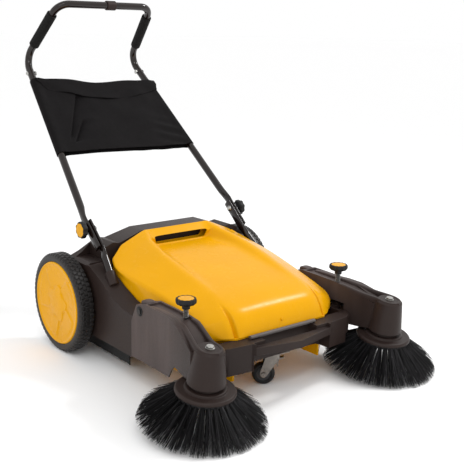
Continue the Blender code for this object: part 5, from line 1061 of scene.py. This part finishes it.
def bristles(roots, bends, tips, radius, steps, shades):
    """Bristles as thin three-sided prisms: each follows the parabola from its root past its bend to
    its tip, and narrows to half its radius. Returns the mesh and the shade of each point."""
    sides = 3
    share = np.linspace(0, 1, steps)[None, :, None]
    line = parabola(roots[:, None], bends[:, None], tips[:, None], share)
    heading = unit(tips - roots)
    across = unit(np.cross(heading, (0.0, 0.0, 1.0)))
    other = np.cross(heading, across)
    turn = circle(sides)[:, None]
    ring = across[:, None] * np.cos(turn) + other[:, None] * np.sin(turn)
    points = line[:, :, None] + ring[:, None] * radius * (1 - 0.5 * share[..., None])
    ends = np.stack((np.arange(sides)[::-1], np.arange(sides) + (steps - 1) * sides))
    per = steps * sides
    starts = (np.arange(len(roots)) * per)[:, None, None]
    quads = (grid_faces(steps, sides, False, True)[None] + starts).reshape(-1, 4).tolist()
    caps = (ends[None] + starts).reshape(-1, sides).tolist()
    return (points.reshape(-1, 3), quads + caps), np.repeat(shades, per)


TUFTS = 30
TUFT_BRISTLES = 46
TUFT_TOP = -0.0093
HOLE_RADIUS = 0.0022
TUFT_HALF = 0.0036
TUFT_FAN = 0.108
# The share of the outer bristles that lie flatter, and how far up and in their tips are at most
FLAT_SHARE = 0.45
FLAT_RISE = 0.019
FLAT_SHORTER = 0.007
# How far up the tips of the shortest bristles end, and how deep the bend lies, as a share
SHORT_RISE = 0.010
BEND_SHARE = 0.53


def side_brush_bristles(side):
    """Two rings of tufts under the flange. A tuft's bristles start side by side in one hole, fan out as
    they run outwards and down, and end unevenly near the brush's radius. Some of the outer ones lie
    flatter. A band of each tuft's bristles is given a lighter shade, as painted sheen."""
    rng = np.random.default_rng(RANDOM_SEED + side)
    parts = []
    for ring, (hole, low, high) in enumerate(((0.052, 0.112, 0.146),
                                              (0.0655, 0.138, sizes().brush_radius))):
        angle = np.repeat(circle(TUFTS), TUFT_BRISTLES)
        count = len(angle)
        tuft = np.repeat(rng.normal(0, 1, (TUFTS, 3)), TUFT_BRISTLES, axis=0)
        loose = rng.normal(0, 1, (count, 4))
        start_radius = hole + HOLE_RADIUS * loose[:, 0].clip(-1.6, 1.6)
        fan = rng.uniform(-1, 1, count)
        start_angle = angle + (TUFT_HALF * fan + 0.0006 * loose[:, 1]) / start_radius
        reach = low + (high - low) * (1.05 - 0.35 * np.abs(loose[:, 2])) + 0.002 * tuft[:, 0]
        end_angle = angle + 0.012 * tuft[:, 1] + TUFT_FAN * fan + 0.012 * loose[:, 3]
        flat = ring * np.where(rng.random(count) < FLAT_SHARE, rng.random(count), 0)
        reach = np.clip(reach, low, high) - FLAT_SHORTER * flat
        drop = (sizes().brush_drop - 0.0015 * rng.random(count) - FLAT_RISE * flat
                - SHORT_RISE * (high - reach) / (high - low))
        middle = (start_radius + reach) / 2 + 0.001
        # The streak is painted sheen: a band of lighter bristles in each tuft stands in for highlights
        # on the glossy nylon; the rest of the shade is a random tone
        streak = np.exp(-((fan - 0.5 * tuft[:, 2]) / 0.22) ** 2)
        shades = rng.beta(1.0, 9.0, count) + 0.34 * streak * rng.random(count)
        bend = TUFT_TOP - BEND_SHARE * (drop + TUFT_TOP)
        parts.append((around(start_radius, start_angle, TUFT_TOP),
                      around(middle, (start_angle + end_angle) / 2, bend),
                      around(reach, end_angle, -drop), np.clip(shades, 0, 1)))
    *lines, shades = (np.concatenate(column) for column in zip(*parts))
    roots, bends, tips = (turned_into(brush_frame(side), points) for points in lines)
    return bristles(roots, bends, tips, sizes().bristle, 5, shades)


ROLLER_Y = -0.042795
ROLLER_Z = 0.098645
ROLLER_RADIUS = 0.0975
ROLLER_HALF = 0.2385
ROLLER_CORE = 0.046
ROLLER_ROWS = 9
ROLLER_TUFTS = 54
ROLLER_BRISTLES = 9
ROLLER_BORE = 0.0063
ROLLER_BRISTLE = 0.0007
ROLLER_MARGIN = 0.006
ROOT_SINK = 0.002
# How far a row winds round the core from its middle to its end, in radians
ROLLER_WIND = 0.9


def roller_bristles():
    """Rows of tufts that wind round the core, each row a V that meets in the middle."""
    rng = np.random.default_rng(RANDOM_SEED)
    along = np.linspace(ROLLER_MARGIN - ROLLER_HALF, ROLLER_HALF - ROLLER_MARGIN, ROLLER_TUFTS)
    angle = (circle(ROLLER_ROWS)[:, None] + np.abs(along)[None] / ROLLER_HALF * ROLLER_WIND).ravel()
    angle = np.repeat(angle, ROLLER_BRISTLES)
    x = np.repeat(np.tile(along, ROLLER_ROWS), ROLLER_BRISTLES)
    loose = rng.normal(0, 1, (len(x), 3)).clip(-1.8, 1.8)
    tip_radius = ROLLER_RADIUS - 0.002 * rng.random(len(x))
    tip_x = np.clip(x + 0.0035 * loose[:, 1], -ROLLER_HALF, ROLLER_HALF)
    roots, tips = (np.column_stack((place, ROLLER_Y + radius * np.cos(turn),
                                    ROLLER_Z + radius * np.sin(turn)))
                   for radius, turn, place in ((ROLLER_CORE - ROOT_SINK, angle + 0.02 * loose[:, 2], x),
                                               (tip_radius, angle + 0.05 * loose[:, 0], tip_x)))
    shades = rng.beta(1.2, 4.5, len(x))
    return bristles(roots, (roots + tips) / 2, tips, ROLLER_BRISTLE, 3, shades)


FLANGE = [(0.0063, 0.030), (0.034, 0.030), (0.036, 0.028), (0.036, 0.005), (0.048, 0.005),
          (0.050, 0.003), (0.0505, 0.0), (0.069, 0.0), (0.0725, -0.0035), (0.0725, -0.009),
          (0.0063, -0.009)]
TUFT_HOLDER = [(0.0475, -0.0088), (0.0705, -0.0088), (0.0705, -0.0150), (0.0685, -0.0165),
               (0.0475, -0.0165)]


class SWEEPER_OT_brushes(bpy.types.Operator):
    """Plant the tufts of the side brushes and of the roller, and shape the flanges"""
    bl_idname = "sweeper.brushes"
    bl_label = "Brushes"

    def execute(self, context):
        for name, side in SIDES.items():
            body = f"side_brush_{name}"
            mesh, shades = side_brush_bristles(side)
            dress(new_piece(f"bristles_{name}", mesh, values=shades), body, "bristle",
                  f"bristle_ring_{name}")
            matrix = brush_frame(side)
            dress(turned(f"brush_plate_{name}", FLANGE, 0.0016, 4, 2, 96, matrix), body,
                  "dark_plastic", f"brush_flange_{name}")
            dress(turned(f"tuft_holder_{name}", TUFT_HOLDER, 0.001, 3, 2, 96, matrix), body,
                  "black_rubber")
        outline = [(ROLLER_BORE, ROLLER_HALF), (ROLLER_CORE, ROLLER_HALF),
                   (ROLLER_CORE, -ROLLER_HALF), (ROLLER_BORE, -ROLLER_HALF)]
        core = lathe(outline, 64, wheel_frame(1, 0, ROLLER_Y, ROLLER_Z))
        mesh, shades = roller_bristles()
        shades = np.concatenate((np.full(len(core[0]), 0.15), shades))
        dress(new_piece("roller_tufts", joined(core, mesh), values=shades), "roller", "bristle",
              "roller_brush")
        return {"FINISHED"}


# Handle

def path_between(corners, radii, bend=10, straight=8):
    """A path of straight runs whose corners are arcs: the arc's centre lies on the corner's
    bisector, its radius divided by the sine of half the angle away."""
    corners = np.array(corners, float)
    path, last = [corners[:1]], corners[0]
    share = np.linspace(0, 1, straight + 2)[1:, None]
    for before, corner, after, radius in zip(corners, corners[1:], corners[2:], radii):
        back, ahead = unit(before - corner), unit(after - corner)
        half = math.acos(np.clip(back @ ahead, -1, 1)) / 2
        centre = corner + unit(back + ahead) * radius / math.sin(half)
        start, end = (corner + way * radius / math.tan(half) for way in (back, ahead))
        path.append(last + (start - last) * share[:-1])
        arc = start + (end - start) * np.linspace(0, 1, bend + 1)[:, None] - centre
        path.append(centre + unit(arc) * radius)
        last = end
    path.append(last + (corners[-1] - last) * share)
    return np.concatenate(path)


LEG_END = 0.611
BOW_CORNER_S = 0.6618
BOW_TOP = (0.164, 0.650, 0.2368)
BOW_BENDS = (0.045, 0.042, 0.042, 0.045)
GRIP_ENDS = (0.0624, 0.1944)
GRIP_EDGE = 0.0022
COLLAR_ENDS = (-0.0005, 0.0305)
COLLAR_RADIUS = 0.0145
COLLAR_EDGE = 0.0015
TUBE_FIT = 0.0003
LOWER_TUBE_X = 0.2483
# Half the thickness and half the width of a tube's flattened end
FLAT_END = (0.0055, 0.014)


def bow_path():
    """The bow's centre line, from the left leg to the right leg, in the handle's frame."""
    start = LEG_END + TUBE_FIT
    right = [(leg_x(start), start, 0), (leg_x(BOW_CORNER_S), BOW_CORNER_S, 0), BOW_TOP]
    return path_between([(-x, s, n) for x, s, n in right] + right[::-1], BOW_BENDS)


def flattened(side, stations):
    """A handle tube from stations of (x, s, half size across, half size off the plane)."""
    stations = np.array(stations)
    s = np.linspace(stations[0, 1], stations[-1, 1], 60)
    order = np.argsort(stations[:, 1])
    x, across, off = (np.interp(s, stations[order, 1], stations[order, k]) for k in (0, 2, 3))
    return in_handle(carried(np.column_stack((side * x, s, 0 * s)), np.column_stack((off, across)), 24))


def sleeve(start, end, radius, edge):
    """A sleeve round the bow between two points: an outer wall with rounded ends, and its bore."""
    run = np.linalg.norm(end - start)
    bore = sizes().tube + TUBE_FIT
    line = rounded([(bore, 0), (radius, 0), (radius, run), (bore, run)], [0, edge, edge, 0], 6, 10)
    turn = Vector(end - start).to_track_quat("Z", "Y").to_matrix().to_4x4()
    return in_handle(lathe(line, 48, Matrix.Translation(start) @ turn))


class SWEEPER_OT_handle(bpy.types.Operator):
    """Bend the handle's tubes and push on its grips"""
    bl_idname = "sweeper.handle"
    bl_label = "Handle"

    def execute(self, context):
        tube = sizes().tube
        bow = new_piece("bent_bow", in_handle(carried(bow_path(), (tube, tube), 28)))
        dress(bow, "handle", "painted_tube", "handle_bow")
        for name, side in SIDES.items():
            leg = new_piece(f"leg_tube_{name}", flattened(side, [
                (LEG_X, -0.067, *FLAT_END), (LEG_X, 0.030, *FLAT_END),
                (LEG_X, 0.040, 0.0057, 0.0138), (leg_x(0.075), 0.075, 0.0108, 0.0112),
                (leg_x(0.085), 0.085, tube, tube), (leg_x(LEG_END), LEG_END, tube, tube)]))
            dress(leg, "handle", "painted_tube", f"handle_leg_{name}")
            lower = new_piece(f"lower_stub_{name}", flattened(side, [
                (LOWER_TUBE_X, 0.024, *FLAT_END), (LOWER_TUBE_X, -0.070, *FLAT_END),
                (0.2485, -0.078, 0.0058, 0.0137), (0.2530, -0.100, 0.0108, 0.0112),
                (0.265, -0.186, tube, tube)]))
            dress(lower, "chassis", "painted_tube", f"lower_tube_{name}")
            corner = np.array((side * leg_x(BOW_CORNER_S), BOW_CORNER_S, 0))
            top = np.array((side * BOW_TOP[0], *BOW_TOP[1:]))
            ends = [corner + (top - corner) * n / BOW_TOP[2] for n in GRIP_ENDS]
            grip = new_piece(f"foam_grip_{name}", sleeve(*ends, sizes().grip, GRIP_EDGE))
            dress(grip, "handle", "black_foam", f"grip_{name}")
        ends = [np.array((x, *BOW_TOP[1:])) for x in COLLAR_ENDS]
        collar = new_piece("bar_collar", sleeve(*ends, COLLAR_RADIUS, COLLAR_EDGE))
        dress(collar, "handle", "dark_plastic", "bar_sleeve")
        return {"FINISHED"}


# Bag

SLEEVE_OUT = 0.0128
# Lines across the bag as (x, s) points, from the left leg to the right one
BAG_BOTTOM = ((-0.260, 0.2725), (-0.225, 0.2700), (-0.190, 0.2690), (-0.107, 0.2705), (0.060, 0.2650),
              (0.148, 0.2620), (0.205, 0.2625), (0.250, 0.2680))
BAG_TOP = ((-0.260, 0.5670), (-0.195, 0.5665), (-0.081, 0.5600), (-0.014, 0.5450), (0.041, 0.5432),
           (0.122, 0.5500), (0.250, 0.5490))
FLAP_HEM = ((-0.260, 0.5665), (-0.197, 0.5580), (-0.173, 0.5190), (-0.112, 0.5040), (-0.070, 0.4870),
            (0.010, 0.4745), (0.107, 0.4790), (0.207, 0.5060), (0.260, 0.5100))
BAG_LOW_S = 0.27
BAG_HIGH_S = 0.56
FLAP_S = 0.55
# Each pleat is given by (x, s) at its upper and lower end
PLEATS = (((-0.088, 0.498), (-0.181, 0.318)), ((-0.113, 0.386), (-0.170, 0.304)))
PLEAT_WIDTH = 0.0030
PLEAT_DEPTH = 0.0120
QUILT_DEPTH = 0.0020
FOLD_DEPTH = 0.0022
# How far the cloth stands off the legs' plane: the bag's front and back, the flap's front and back
FRONT_STAND = 0.0110
BACK_STAND = 0.005
FLAP_FRONT = 0.0138
FLAP_BACK = 0.0110
# How far the flap's fold lies above the bag's edge, how far it hangs down the back, and how far its
# front hangs below the line of its hem
FLAP_LIFT = 0.0014
FLAP_BACK_HANG = 0.030
HEM_ALLOWANCE = 0.004
# How far the flap's end runs on past the right leg, and the radius of the round that it follows
FLAP_WRAP = 0.0230
WRAP_RADIUS = 0.0300


def steps_along(surface, axis):
    """The lengths of a grid's steps along one of its axes."""
    return np.linalg.norm(np.diff(surface, axis=axis), axis=-1)


def cloth_piece(name, surface, loop, held, rests_on, *nodes):
    """A sheet of cloth from a grid of points in the handle's frame, given its thickness and its
    weave. A loop's rows run on to their first point. The weave's places and the cut size come from
    the lengths along the sheet's own lines."""
    whole = np.concatenate((surface, surface[:, :1]), 1) if loop else surface
    across, along = steps_along(whole, 1), steps_along(whole, 0)
    u = np.pad(np.cumsum(across, 1), ((0, 0), (1, 0)))
    v = np.pad(np.cumsum(along, 0), ((1, 0), (0, 0)))
    uv = np.stack((u, v), -1)[:, :surface.shape[1]]
    mesh = (surface.reshape(-1, 3), grid_faces(*surface.shape[:2], False, loop))
    piece = new_piece(name, in_handle(mesh), 80, closed=False, uv=uv)
    modify(piece, "Wall", "SOLIDIFY", thickness=sizes().cloth, offset=0.0)
    dress(piece, "handle", "black_cloth", *nodes)


def wrinkle(x, s):
    """Slack cloth: folds that run down from the upper corners, and a soft quilting between."""
    soft = QUILT_DEPTH * np.sin(x * 31 + 2.2 * np.sin(s * 14)) * np.sin(s * 19 + 1.1)
    corner = smoothstep(0.09, 0.17, x) * smoothstep(0.41, 0.33, s)
    return soft + FOLD_DEPTH * np.sin(150 * (s - 0.3) + 45 * x) * corner


def pleats(x, s):
    """Pleats: beside each line the cloth drops over a narrow valley and climbs back over a slow
    slope, fading towards the line's ends."""
    depth = 0
    for (top_x, top_s), (low_x, low_s) in PLEATS:
        share = (s - low_s) / (top_s - low_s)
        away = x - (low_x + (top_x - low_x) * share)
        fade = smoothstep(-0.05, 0.15, share) * smoothstep(1.1, 0.9, share)
        valley = np.where(away < 0, np.exp(-(away / PLEAT_WIDTH) ** 2),
                          np.exp(-away / (6 * PLEAT_WIDTH)))
        depth = depth + PLEAT_DEPTH * fade * valley
    return depth


def line_at(points, x, soften=0.02):
    """The height of a line across the bag, its corners softened."""
    line = rounded(points, soften)
    return np.interp(x, line[:, 0], line[:, 1])


def front_cloth(x, s):
    """How far the front of the bag stands off the legs' plane."""
    hold = smoothstep(1.0, 0.88, np.abs(x) / leg_x(s))
    return SLEEVE_OUT * (1 - hold) + FRONT_STAND * hold + (wrinkle(x, s) - pleats(x, s)) * hold


def envelope():
    """The bag's body: one loop of cloth that runs across the front, round the right leg, back and
    round the left leg, carried up the legs from its lower to its upper edge."""
    front, rear = np.linspace(-1, 1, 240), np.linspace(1, -1, 60)
    turn = np.linspace(math.pi / 2, -math.pi / 2, 15)[1:-1]
    slack = smoothstep(1, 0.86, np.abs(rear))
    rows = []
    for share in np.linspace(0, 1, 90):
        lines = []
        for across in (front, rear):
            low_edge, high_edge = (line_at(line, across * leg_x(level)) for line, level in
                                   ((BAG_BOTTOM, BAG_LOW_S), (BAG_TOP, BAG_HIGH_S)))
            s = low_edge + (high_edge - low_edge) * share
            lines.append((across * leg_x(s), s))
        x, s = lines[1]
        back = np.column_stack((x, s, -SLEEVE_OUT + (SLEEVE_OUT - BACK_STAND) * slack
                                - np.abs(wrinkle(x + 0.1, s)) * slack))
        x, s = lines[0]
        face = np.column_stack((x, s, front_cloth(x, s)))
        right, left = (np.column_stack((side * (leg_x(s[end]) + SLEEVE_OUT * np.cos(turn)),
                                        np.full(len(turn), s[end]), SLEEVE_OUT * np.sin(turn)))
                       for side, end in ((1, -1), (-1, 0)))
        rows.append(np.concatenate((face, right, back, left[::-1])))
    return np.array(rows)


def flap():
    """The band folded over the bag's upper edge: up the back, over the edge and down the front.
    Its hem starts at the left leg's top, drops along a diagonal fold, hangs lowest right of the
    middle and ends wrapped round the right leg."""
    across = np.linspace(-1, 1, 150)[None, :]
    over = np.concatenate((np.linspace(-1, -0.1, 7), np.linspace(-0.05, 0.05, 5),
                           np.linspace(0.1, 1, 22)))[:, None]
    share = np.abs(across)
    wrap = FLAP_WRAP * smoothstep(0.88, 1.0, across) * (1 - 0.7 * smoothstep(0.3, 1.0, over))
    x = across * leg_x(FLAP_S) + wrap
    top = line_at(BAG_TOP, x) + FLAP_LIFT
    hang = np.where(over > 0, top - line_at(FLAP_HEM, x, 0.012) + HEM_ALLOWANCE, FLAP_BACK_HANG)
    s = top - hang * np.abs(over)
    x = x + across * (leg_x(s) - leg_x(FLAP_S))
    side = np.clip(over / 0.06, -1, 1)
    stand = np.where(side > 0, FLAP_FRONT, FLAP_BACK) + 0.0016 * smoothstep(0.82, 0.97, share)
    tuck = np.sqrt(np.clip(1 - (wrap / WRAP_RADIUS) ** 2, 0.02, 1))
    hem = smoothstep(0.3, 1.0, over) * smoothstep(1.0, 0.9, share)
    waves = 0.0016 * np.sin(across * 11 + 1) + 0.0018 * np.sin(across * 4.1 + 2.5)
    return np.stack((x, s, stand * side * tuck + hem * (waves + 0.6 * wrinkle(x, s))), -1)


class SWEEPER_OT_bag(bpy.types.Operator):
    """Sew the cloth bag between the handle's legs"""
    bl_idname = "sweeper.bag"
    bl_label = "Bag"

    def execute(self, context):
        legs = ["leg_tube_left", "leg_tube_right"]
        cloth_piece("bag_body", envelope(), True, "stretched", legs, "bag")
        cloth_piece("bag_flap", flap(), False, "hung", ["bag_body"])
        return {"FINISHED"}


# Knobs, springs and bolts

SCREW_X = 0.2615
SCREW_Y = -0.505
CLAMP_X = 0.2654
SPRING_TURNS = 7
SPRING_RADIUS = 0.006
SPRING_WIRE = 0.0010
SPINDLE_HEAD = 0.1013
ARM_PIN_PLACE = (0, -0.359, 0.207)
WASHER = [(0.0045, 0.2984), (0.0125, 0.2984), (0.0128, 0.2990), (0.0120, 0.2995), (0.0045, 0.2995)]
CAP_ROUNDING = [0, 0.001, 0.0006, 0.0002, 0]
# Each knob's piece, cap, body, node, number of lobes and their depth, outline and its rounding, and
# the cap's outline
KNOBS = (
    ("height_knob", "height_cap", "adjuster", "adjuster_knob", 12, 0.035,
     [(0, 0.2735), (0.0205, 0.2735), (0.0205, 0.2748), (0.0235, 0.2748), (0.025, 0.271),
      (0.025, 0.264), (0.021, 0.2592), (0.010, 0.2588), (0.010, 0.248), (0.004, 0.248),
      (0.004, 0.1684), (0, 0.1684)],
     [0, 0.0004, 0.0004, 0.001, 0.002, 0.002, 0.002] + [0.0006] * 5,
     [(0, 0.2750), (0.0190, 0.2746), (0.0200, 0.2738), (0.0200, 0.2734), (0, 0.2734)]),
    ("clamp_grip", "clamp_cap", "clamp", "clamp_knob", 8, 0.05,
     [(0, 0.0225), (0.0198, 0.0225), (0.0198, 0.0236), (0.0215, 0.0232), (0.0228, 0.0195),
      (0.0228, 0.0105), (0.0190, 0.0072), (0.009, 0.005), (0.008, 0), (0, 0)],
     [0, 0.0004, 0.0006, 0.001, 0.002, 0.002, 0.001, 0.0006, 0.0004, 0],
     [(0, 0.0238), (0.0186, 0.0236), (0.0197, 0.0230), (0.0197, 0.0224), (0, 0.0224)]),
)


def lobed(count, depth):
    """A grip's outline: the radius falls in between the lobes by a share of it."""
    def share(angle, profile):
        on_grip = profile[:, 0] > 0.8 * profile[:, 0].max()
        return -depth * np.clip(np.cos(count * angle) * 1.6, -1, 1) * on_grip
    return share


def hexed(angle, profile):
    """A bolt head's outline: along its flats the radius over the cosine of the angle from the
    nearest flat. The flats run along the profile's third and fourth points."""
    flat = np.cos((angle + math.pi / 6) % (math.pi / 3) - math.pi / 6)
    point = np.arange(len(profile))
    return np.where((point == 2) | (point == 3), 0.875 / flat - 1, 0)


class SWEEPER_OT_knobs(bpy.types.Operator):
    """Shape the height adjusters and the clamp knobs with their plain yellow caps"""
    bl_idname = "sweeper.knobs"
    bl_label = "Knobs"

    def execute(self, context):
        for name, side in SIDES.items():
            places = (Matrix.Translation((side * SCREW_X, SCREW_Y, 0)),
                      wheel_frame(side, CLAMP_X, HANDLE_Y, HANDLE_Z))
            for place, knob in zip(places, KNOBS):
                grip, cap, body, node, lobes, depth, outline, reach, top = knob
                piece = turned(f"{grip}_{name}", outline, reach, 4, 2, 144, place, lobed(lobes, depth))
                dress(piece, f"{body}_{name}", "dark_plastic", f"{node}_{name}", look="black_rubber")
                piece = turned(f"{cap}_{name}", top, CAP_ROUNDING, 4, 3, 64, place)
                dress(piece, f"{body}_{name}", "yellow_plastic")
        return {"FINISHED"}


class SWEEPER_OT_springs(bpy.types.Operator):
    """Wind the coil springs round the adjusters' screws"""
    bl_idname = "sweeper.springs"
    bl_label = "Springs"

    def execute(self, context):
        for name, side in SIDES.items():
            low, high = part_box(f"adjuster_spring_{name}")
            turn = np.linspace(0, 2 * math.pi * SPRING_TURNS, SPRING_TURNS * 20 + 1)
            rise = np.linspace(low.z + 2 * SPRING_WIRE, high.z - SPRING_WIRE, len(turn))
            path = around(SPRING_RADIUS, turn, rise) + (side * SCREW_X, SCREW_Y, 0)
            dress(new_piece(f"coil_{name}", carried(path, (SPRING_WIRE, SPRING_WIRE), 8)),
                  f"arm_{name}", "zinc_steel", f"adjuster_spring_{name}", look="spring_steel")
        return {"FINISHED"}


class SWEEPER_OT_bolts(bpy.types.Operator):
    """Turn the bolts, pins and axles that hold the machine together"""
    bl_idname = "sweeper.bolts"
    bl_label = "Bolts"

    def execute(self, context):
        head = SPINDLE_HEAD
        profile = [(0, head + 0.0058), (0.0085, head + 0.0058), (0.0098, head + 0.0048),
                   (0.0098, head + 0.0012), (0.0110, head + 0.0011), (0.0110, head), (0.006, head),
                   (0.006, -0.0093), (0.011, -0.0093), (0.011, -0.0140), (0, -0.0140)]
        for name, side in SIDES.items():
            bolt = new_piece(f"spindle_bolt_{name}", lathe(profile, 72, brush_frame(side), hexed), 25)
            dress(bolt, f"side_brush_{name}", "zinc_steel", f"spindle_{name}")
            washer = lathe(WASHER, 48, wheel_frame(side, *ARM_PIN_PLACE))
            dress(new_piece(f"pin_washer_{name}", washer), f"arm_{name}", "black_rubber")
            for kind, body, look in (("bow_bolt", "handle", "zinc_steel"),
                                     ("arm_pin", "chassis", "black_steel"),
                                     ("clamp_bolt", "chassis", "zinc_steel")):
                node = f"{kind}_{name}"
                dress(copied(node, f"{node}_bright", 0.0004, 2), body, "zinc_steel", node, look=look)
        return {"FINISHED"}


# Caster

def mirrored(half_outline):
    """An outline's upper half followed by its reflection in the middle plane."""
    return half_outline + [(radius, -height) for radius, height in half_outline[::-1]]


class SWEEPER_OT_caster(bpy.types.Operator):
    """Shape the swivelling caster with its brake"""
    bl_idname = "sweeper.caster"
    bl_label = "Caster"

    def execute(self, context):
        for node, name, body, edge in (("caster_fork", "bent_fork", "caster", 0.0007),
                                       ("caster_axle", "fork_axle", "caster", 0.0005),
                                       ("caster_plate", "swivel_plate", "chassis", 0.0006),
                                       ("brake_lever", "brake_pedal", "brake", 0.0006)):
            # The caster's steel parts take the zinc darkened as painted shade
            dress(copied(node, name, edge, 2), body, "zinc_steel", node, look="shaded_zinc")
        half = CASTER_WIDTH / 2
        core = CASTER_RADIUS * 0.62
        tyre = mirrored([(core, half - 0.001), (CASTER_RADIUS - 0.005, half),
                         (CASTER_RADIUS, half - 0.0055)])
        dress(turned("caster_tyre", tyre, 0.0025, 6, 2, 72, caster_axis()), "caster_wheel",
              "black_rubber", "caster_wheel")
        hub = mirrored([(0.0043, half + 0.002), (0.0075, half + 0.002), (0.0085, half - 0.002),
                        (core - 0.002, half - 0.003), (core, half - 0.0015)])
        dress(turned("caster_disc", hub, 0.0008, 3, 2, 72, caster_axis()), "caster_wheel",
              "grey_nylon", look="dark_nylon")
        return {"FINISHED"}


# Parts that keep their solid's own form

KEPT = {
    "zinc_steel": ("stub_axle_left", "stub_axle_right", "roller_shaft"),
    "grey_nylon": ("roller_bush_left", "roller_bush_right", "pinion_left", "pinion_right",
                   "drive_pulley_left", "drive_pulley_right", "brush_pulley_left",
                   "brush_pulley_right"),
}


class SWEEPER_OT_drive(bpy.types.Operator):
    """Finish the axles, gears and pulleys, and round the edges of the drive belts"""
    bl_idname = "sweeper.drive"
    bl_label = "Inner drive"

    def execute(self, context):
        for slot, nodes in KEPT.items():
            for node in nodes:
                finish_piece(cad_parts[node], slot)
        for name, side in SIDES.items():
            node = f"drive_belt_{name}"
            belt = copied(node, f"belt_{name}", 0.0002, 1, 80)
            apply_modifiers(belt)
            finish_piece(belt, "black_rubber")
            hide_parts(node)
            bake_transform(belt)
        return {"FINISHED"}


# Stage

CAMERA_PLACE = (-1.4158, -2.0707, 0.9080)
CAMERA_AZIMUTH = math.radians(-39.52)
CAMERA_ELEVATION = math.radians(13.56)
CAMERA_ROLL = math.radians(1.38)
FOCAL_PIXELS = 851.6
FRAME_PIXELS = 464
SENSOR = 36.0
CLIP_NEAR, CLIP_FAR = 0.05, 200
FLOOR_HALF = 60
# Each lamp's name, place, the point it faces, its width in metres and its power in watts
LAMPS = (
    ("key", (-1.9, -1.7, 2.4), (0, 0, 0.3), 1.4, 8),
    ("nose", (1.75, -0.35, 2.3), (0, -0.35, 0.2), 0.45, 26),
    ("glint", (-1.1, -2.3, 2.7), (0, -0.2, 0.4), 0.3, 8),
)


def soft_light(name, place, target, size, power):
    """A square lamp that faces a point."""
    lamp = bpy.data.lights.new(name, "AREA")
    lamp.shape = "SQUARE"
    lamp.size = size
    lamp.energy = power
    holder = linked(name, lamp)
    holder.location = place
    holder.rotation_euler = (Vector(target) - Vector(place)).to_track_quat("-Z", "Y").to_euler()


def camera_turn():
    """The camera's axes as a matrix: back along its azimuth and elevation, then rolled."""
    a, e, roll = CAMERA_AZIMUTH, CAMERA_ELEVATION, CAMERA_ROLL
    back = Vector((math.sin(a) * math.cos(e), -math.cos(a) * math.cos(e), math.sin(e)))
    level = Vector((math.cos(a), math.sin(a), 0))
    up = back.cross(level)
    right = math.cos(roll) * level + math.sin(roll) * up
    top = math.cos(roll) * up - math.sin(roll) * level
    return Matrix((right, top, back)).transposed().to_4x4()


class SWEEPER_OT_stage(bpy.types.Operator):
    """Set the pale floor, the soft lights and the camera"""
    bl_idname = "sweeper.stage"
    bl_label = "Stage"

    def execute(self, context):
        scene = context.scene
        x, y = np.meshgrid(*[np.linspace(-FLOOR_HALF, FLOOR_HALF, 4)] * 2, indexing="ij")
        mesh = (np.stack((x, y - AXLE_Y, 0 * x), -1), grid_faces(4, 4)[:, ::-1])
        floor = new_piece("pale_floor", mesh, closed=False)
        floor.data.materials.append(pale_floor())
        world = bpy.data.worlds.new("soft white room")
        scene.world = world
        world.use_nodes = True
        background = world.node_tree.nodes["Background"]
        background.inputs["Color"].default_value = (1, 1, 1, 1)
        background.inputs["Strength"].default_value = 1.0
        for lamp in LAMPS:
            soft_light(*lamp)
        eye = bpy.data.cameras.new("photo")
        eye.sensor_width = SENSOR
        eye.lens = FOCAL_PIXELS / FRAME_PIXELS * SENSOR
        eye.clip_start, eye.clip_end = CLIP_NEAR, CLIP_FAR
        camera = linked("photo", eye)
        camera.matrix_world = Matrix.Translation(placed(CAMERA_PLACE)) @ camera_turn()
        scene.camera = camera
        scene.view_settings.view_transform = "Standard"
        return {"FINISHED"}


class SWEEPER_PT_panel(bpy.types.Panel):
    """Shows the sweeper's build buttons, sizes and colours"""
    bl_idname = "SWEEPER_PT_panel"
    bl_label = "Floor Sweeper"
    bl_space_type = "VIEW_3D"
    bl_region_type = "UI"
    bl_category = "Sweeper"

    def draw(self, context):
        column = self.layout.column()
        for operator in OPERATORS:
            column.operator(operator.bl_idname)
        for group in (context.scene.sweeper_sizes, context.scene.sweeper_colours):
            for name in group.__annotations__:
                column.prop(group, name)


OPERATORS = (
    SWEEPER_OT_hopper,
    SWEEPER_OT_shells,
    SWEEPER_OT_skirts,
    SWEEPER_OT_wheels,
    SWEEPER_OT_brushes,
    SWEEPER_OT_handle,
    SWEEPER_OT_bag,
    SWEEPER_OT_knobs,
    SWEEPER_OT_springs,
    SWEEPER_OT_bolts,
    SWEEPER_OT_caster,
    SWEEPER_OT_drive,
    SWEEPER_OT_stage,
)
CLASSES = (SweeperSizes, SweeperColours, *OPERATORS, SWEEPER_PT_panel)


def register():
    for item in CLASSES:
        bpy.utils.register_class(item)
    bpy.types.Scene.sweeper_sizes = bpy.props.PointerProperty(type=SweeperSizes)
    bpy.types.Scene.sweeper_colours = bpy.props.PointerProperty(type=SweeperColours)


def unregister():
    del bpy.types.Scene.sweeper_sizes
    del bpy.types.Scene.sweeper_colours
    for item in reversed(CLASSES):
        bpy.utils.unregister_class(item)


def main():
    """Builds every group in order."""
    register()
    for operator in OPERATORS:
        group, name = operator.bl_idname.split(".")
        getattr(getattr(bpy.ops, group), name)()


if __name__ == "__main__":
    main()
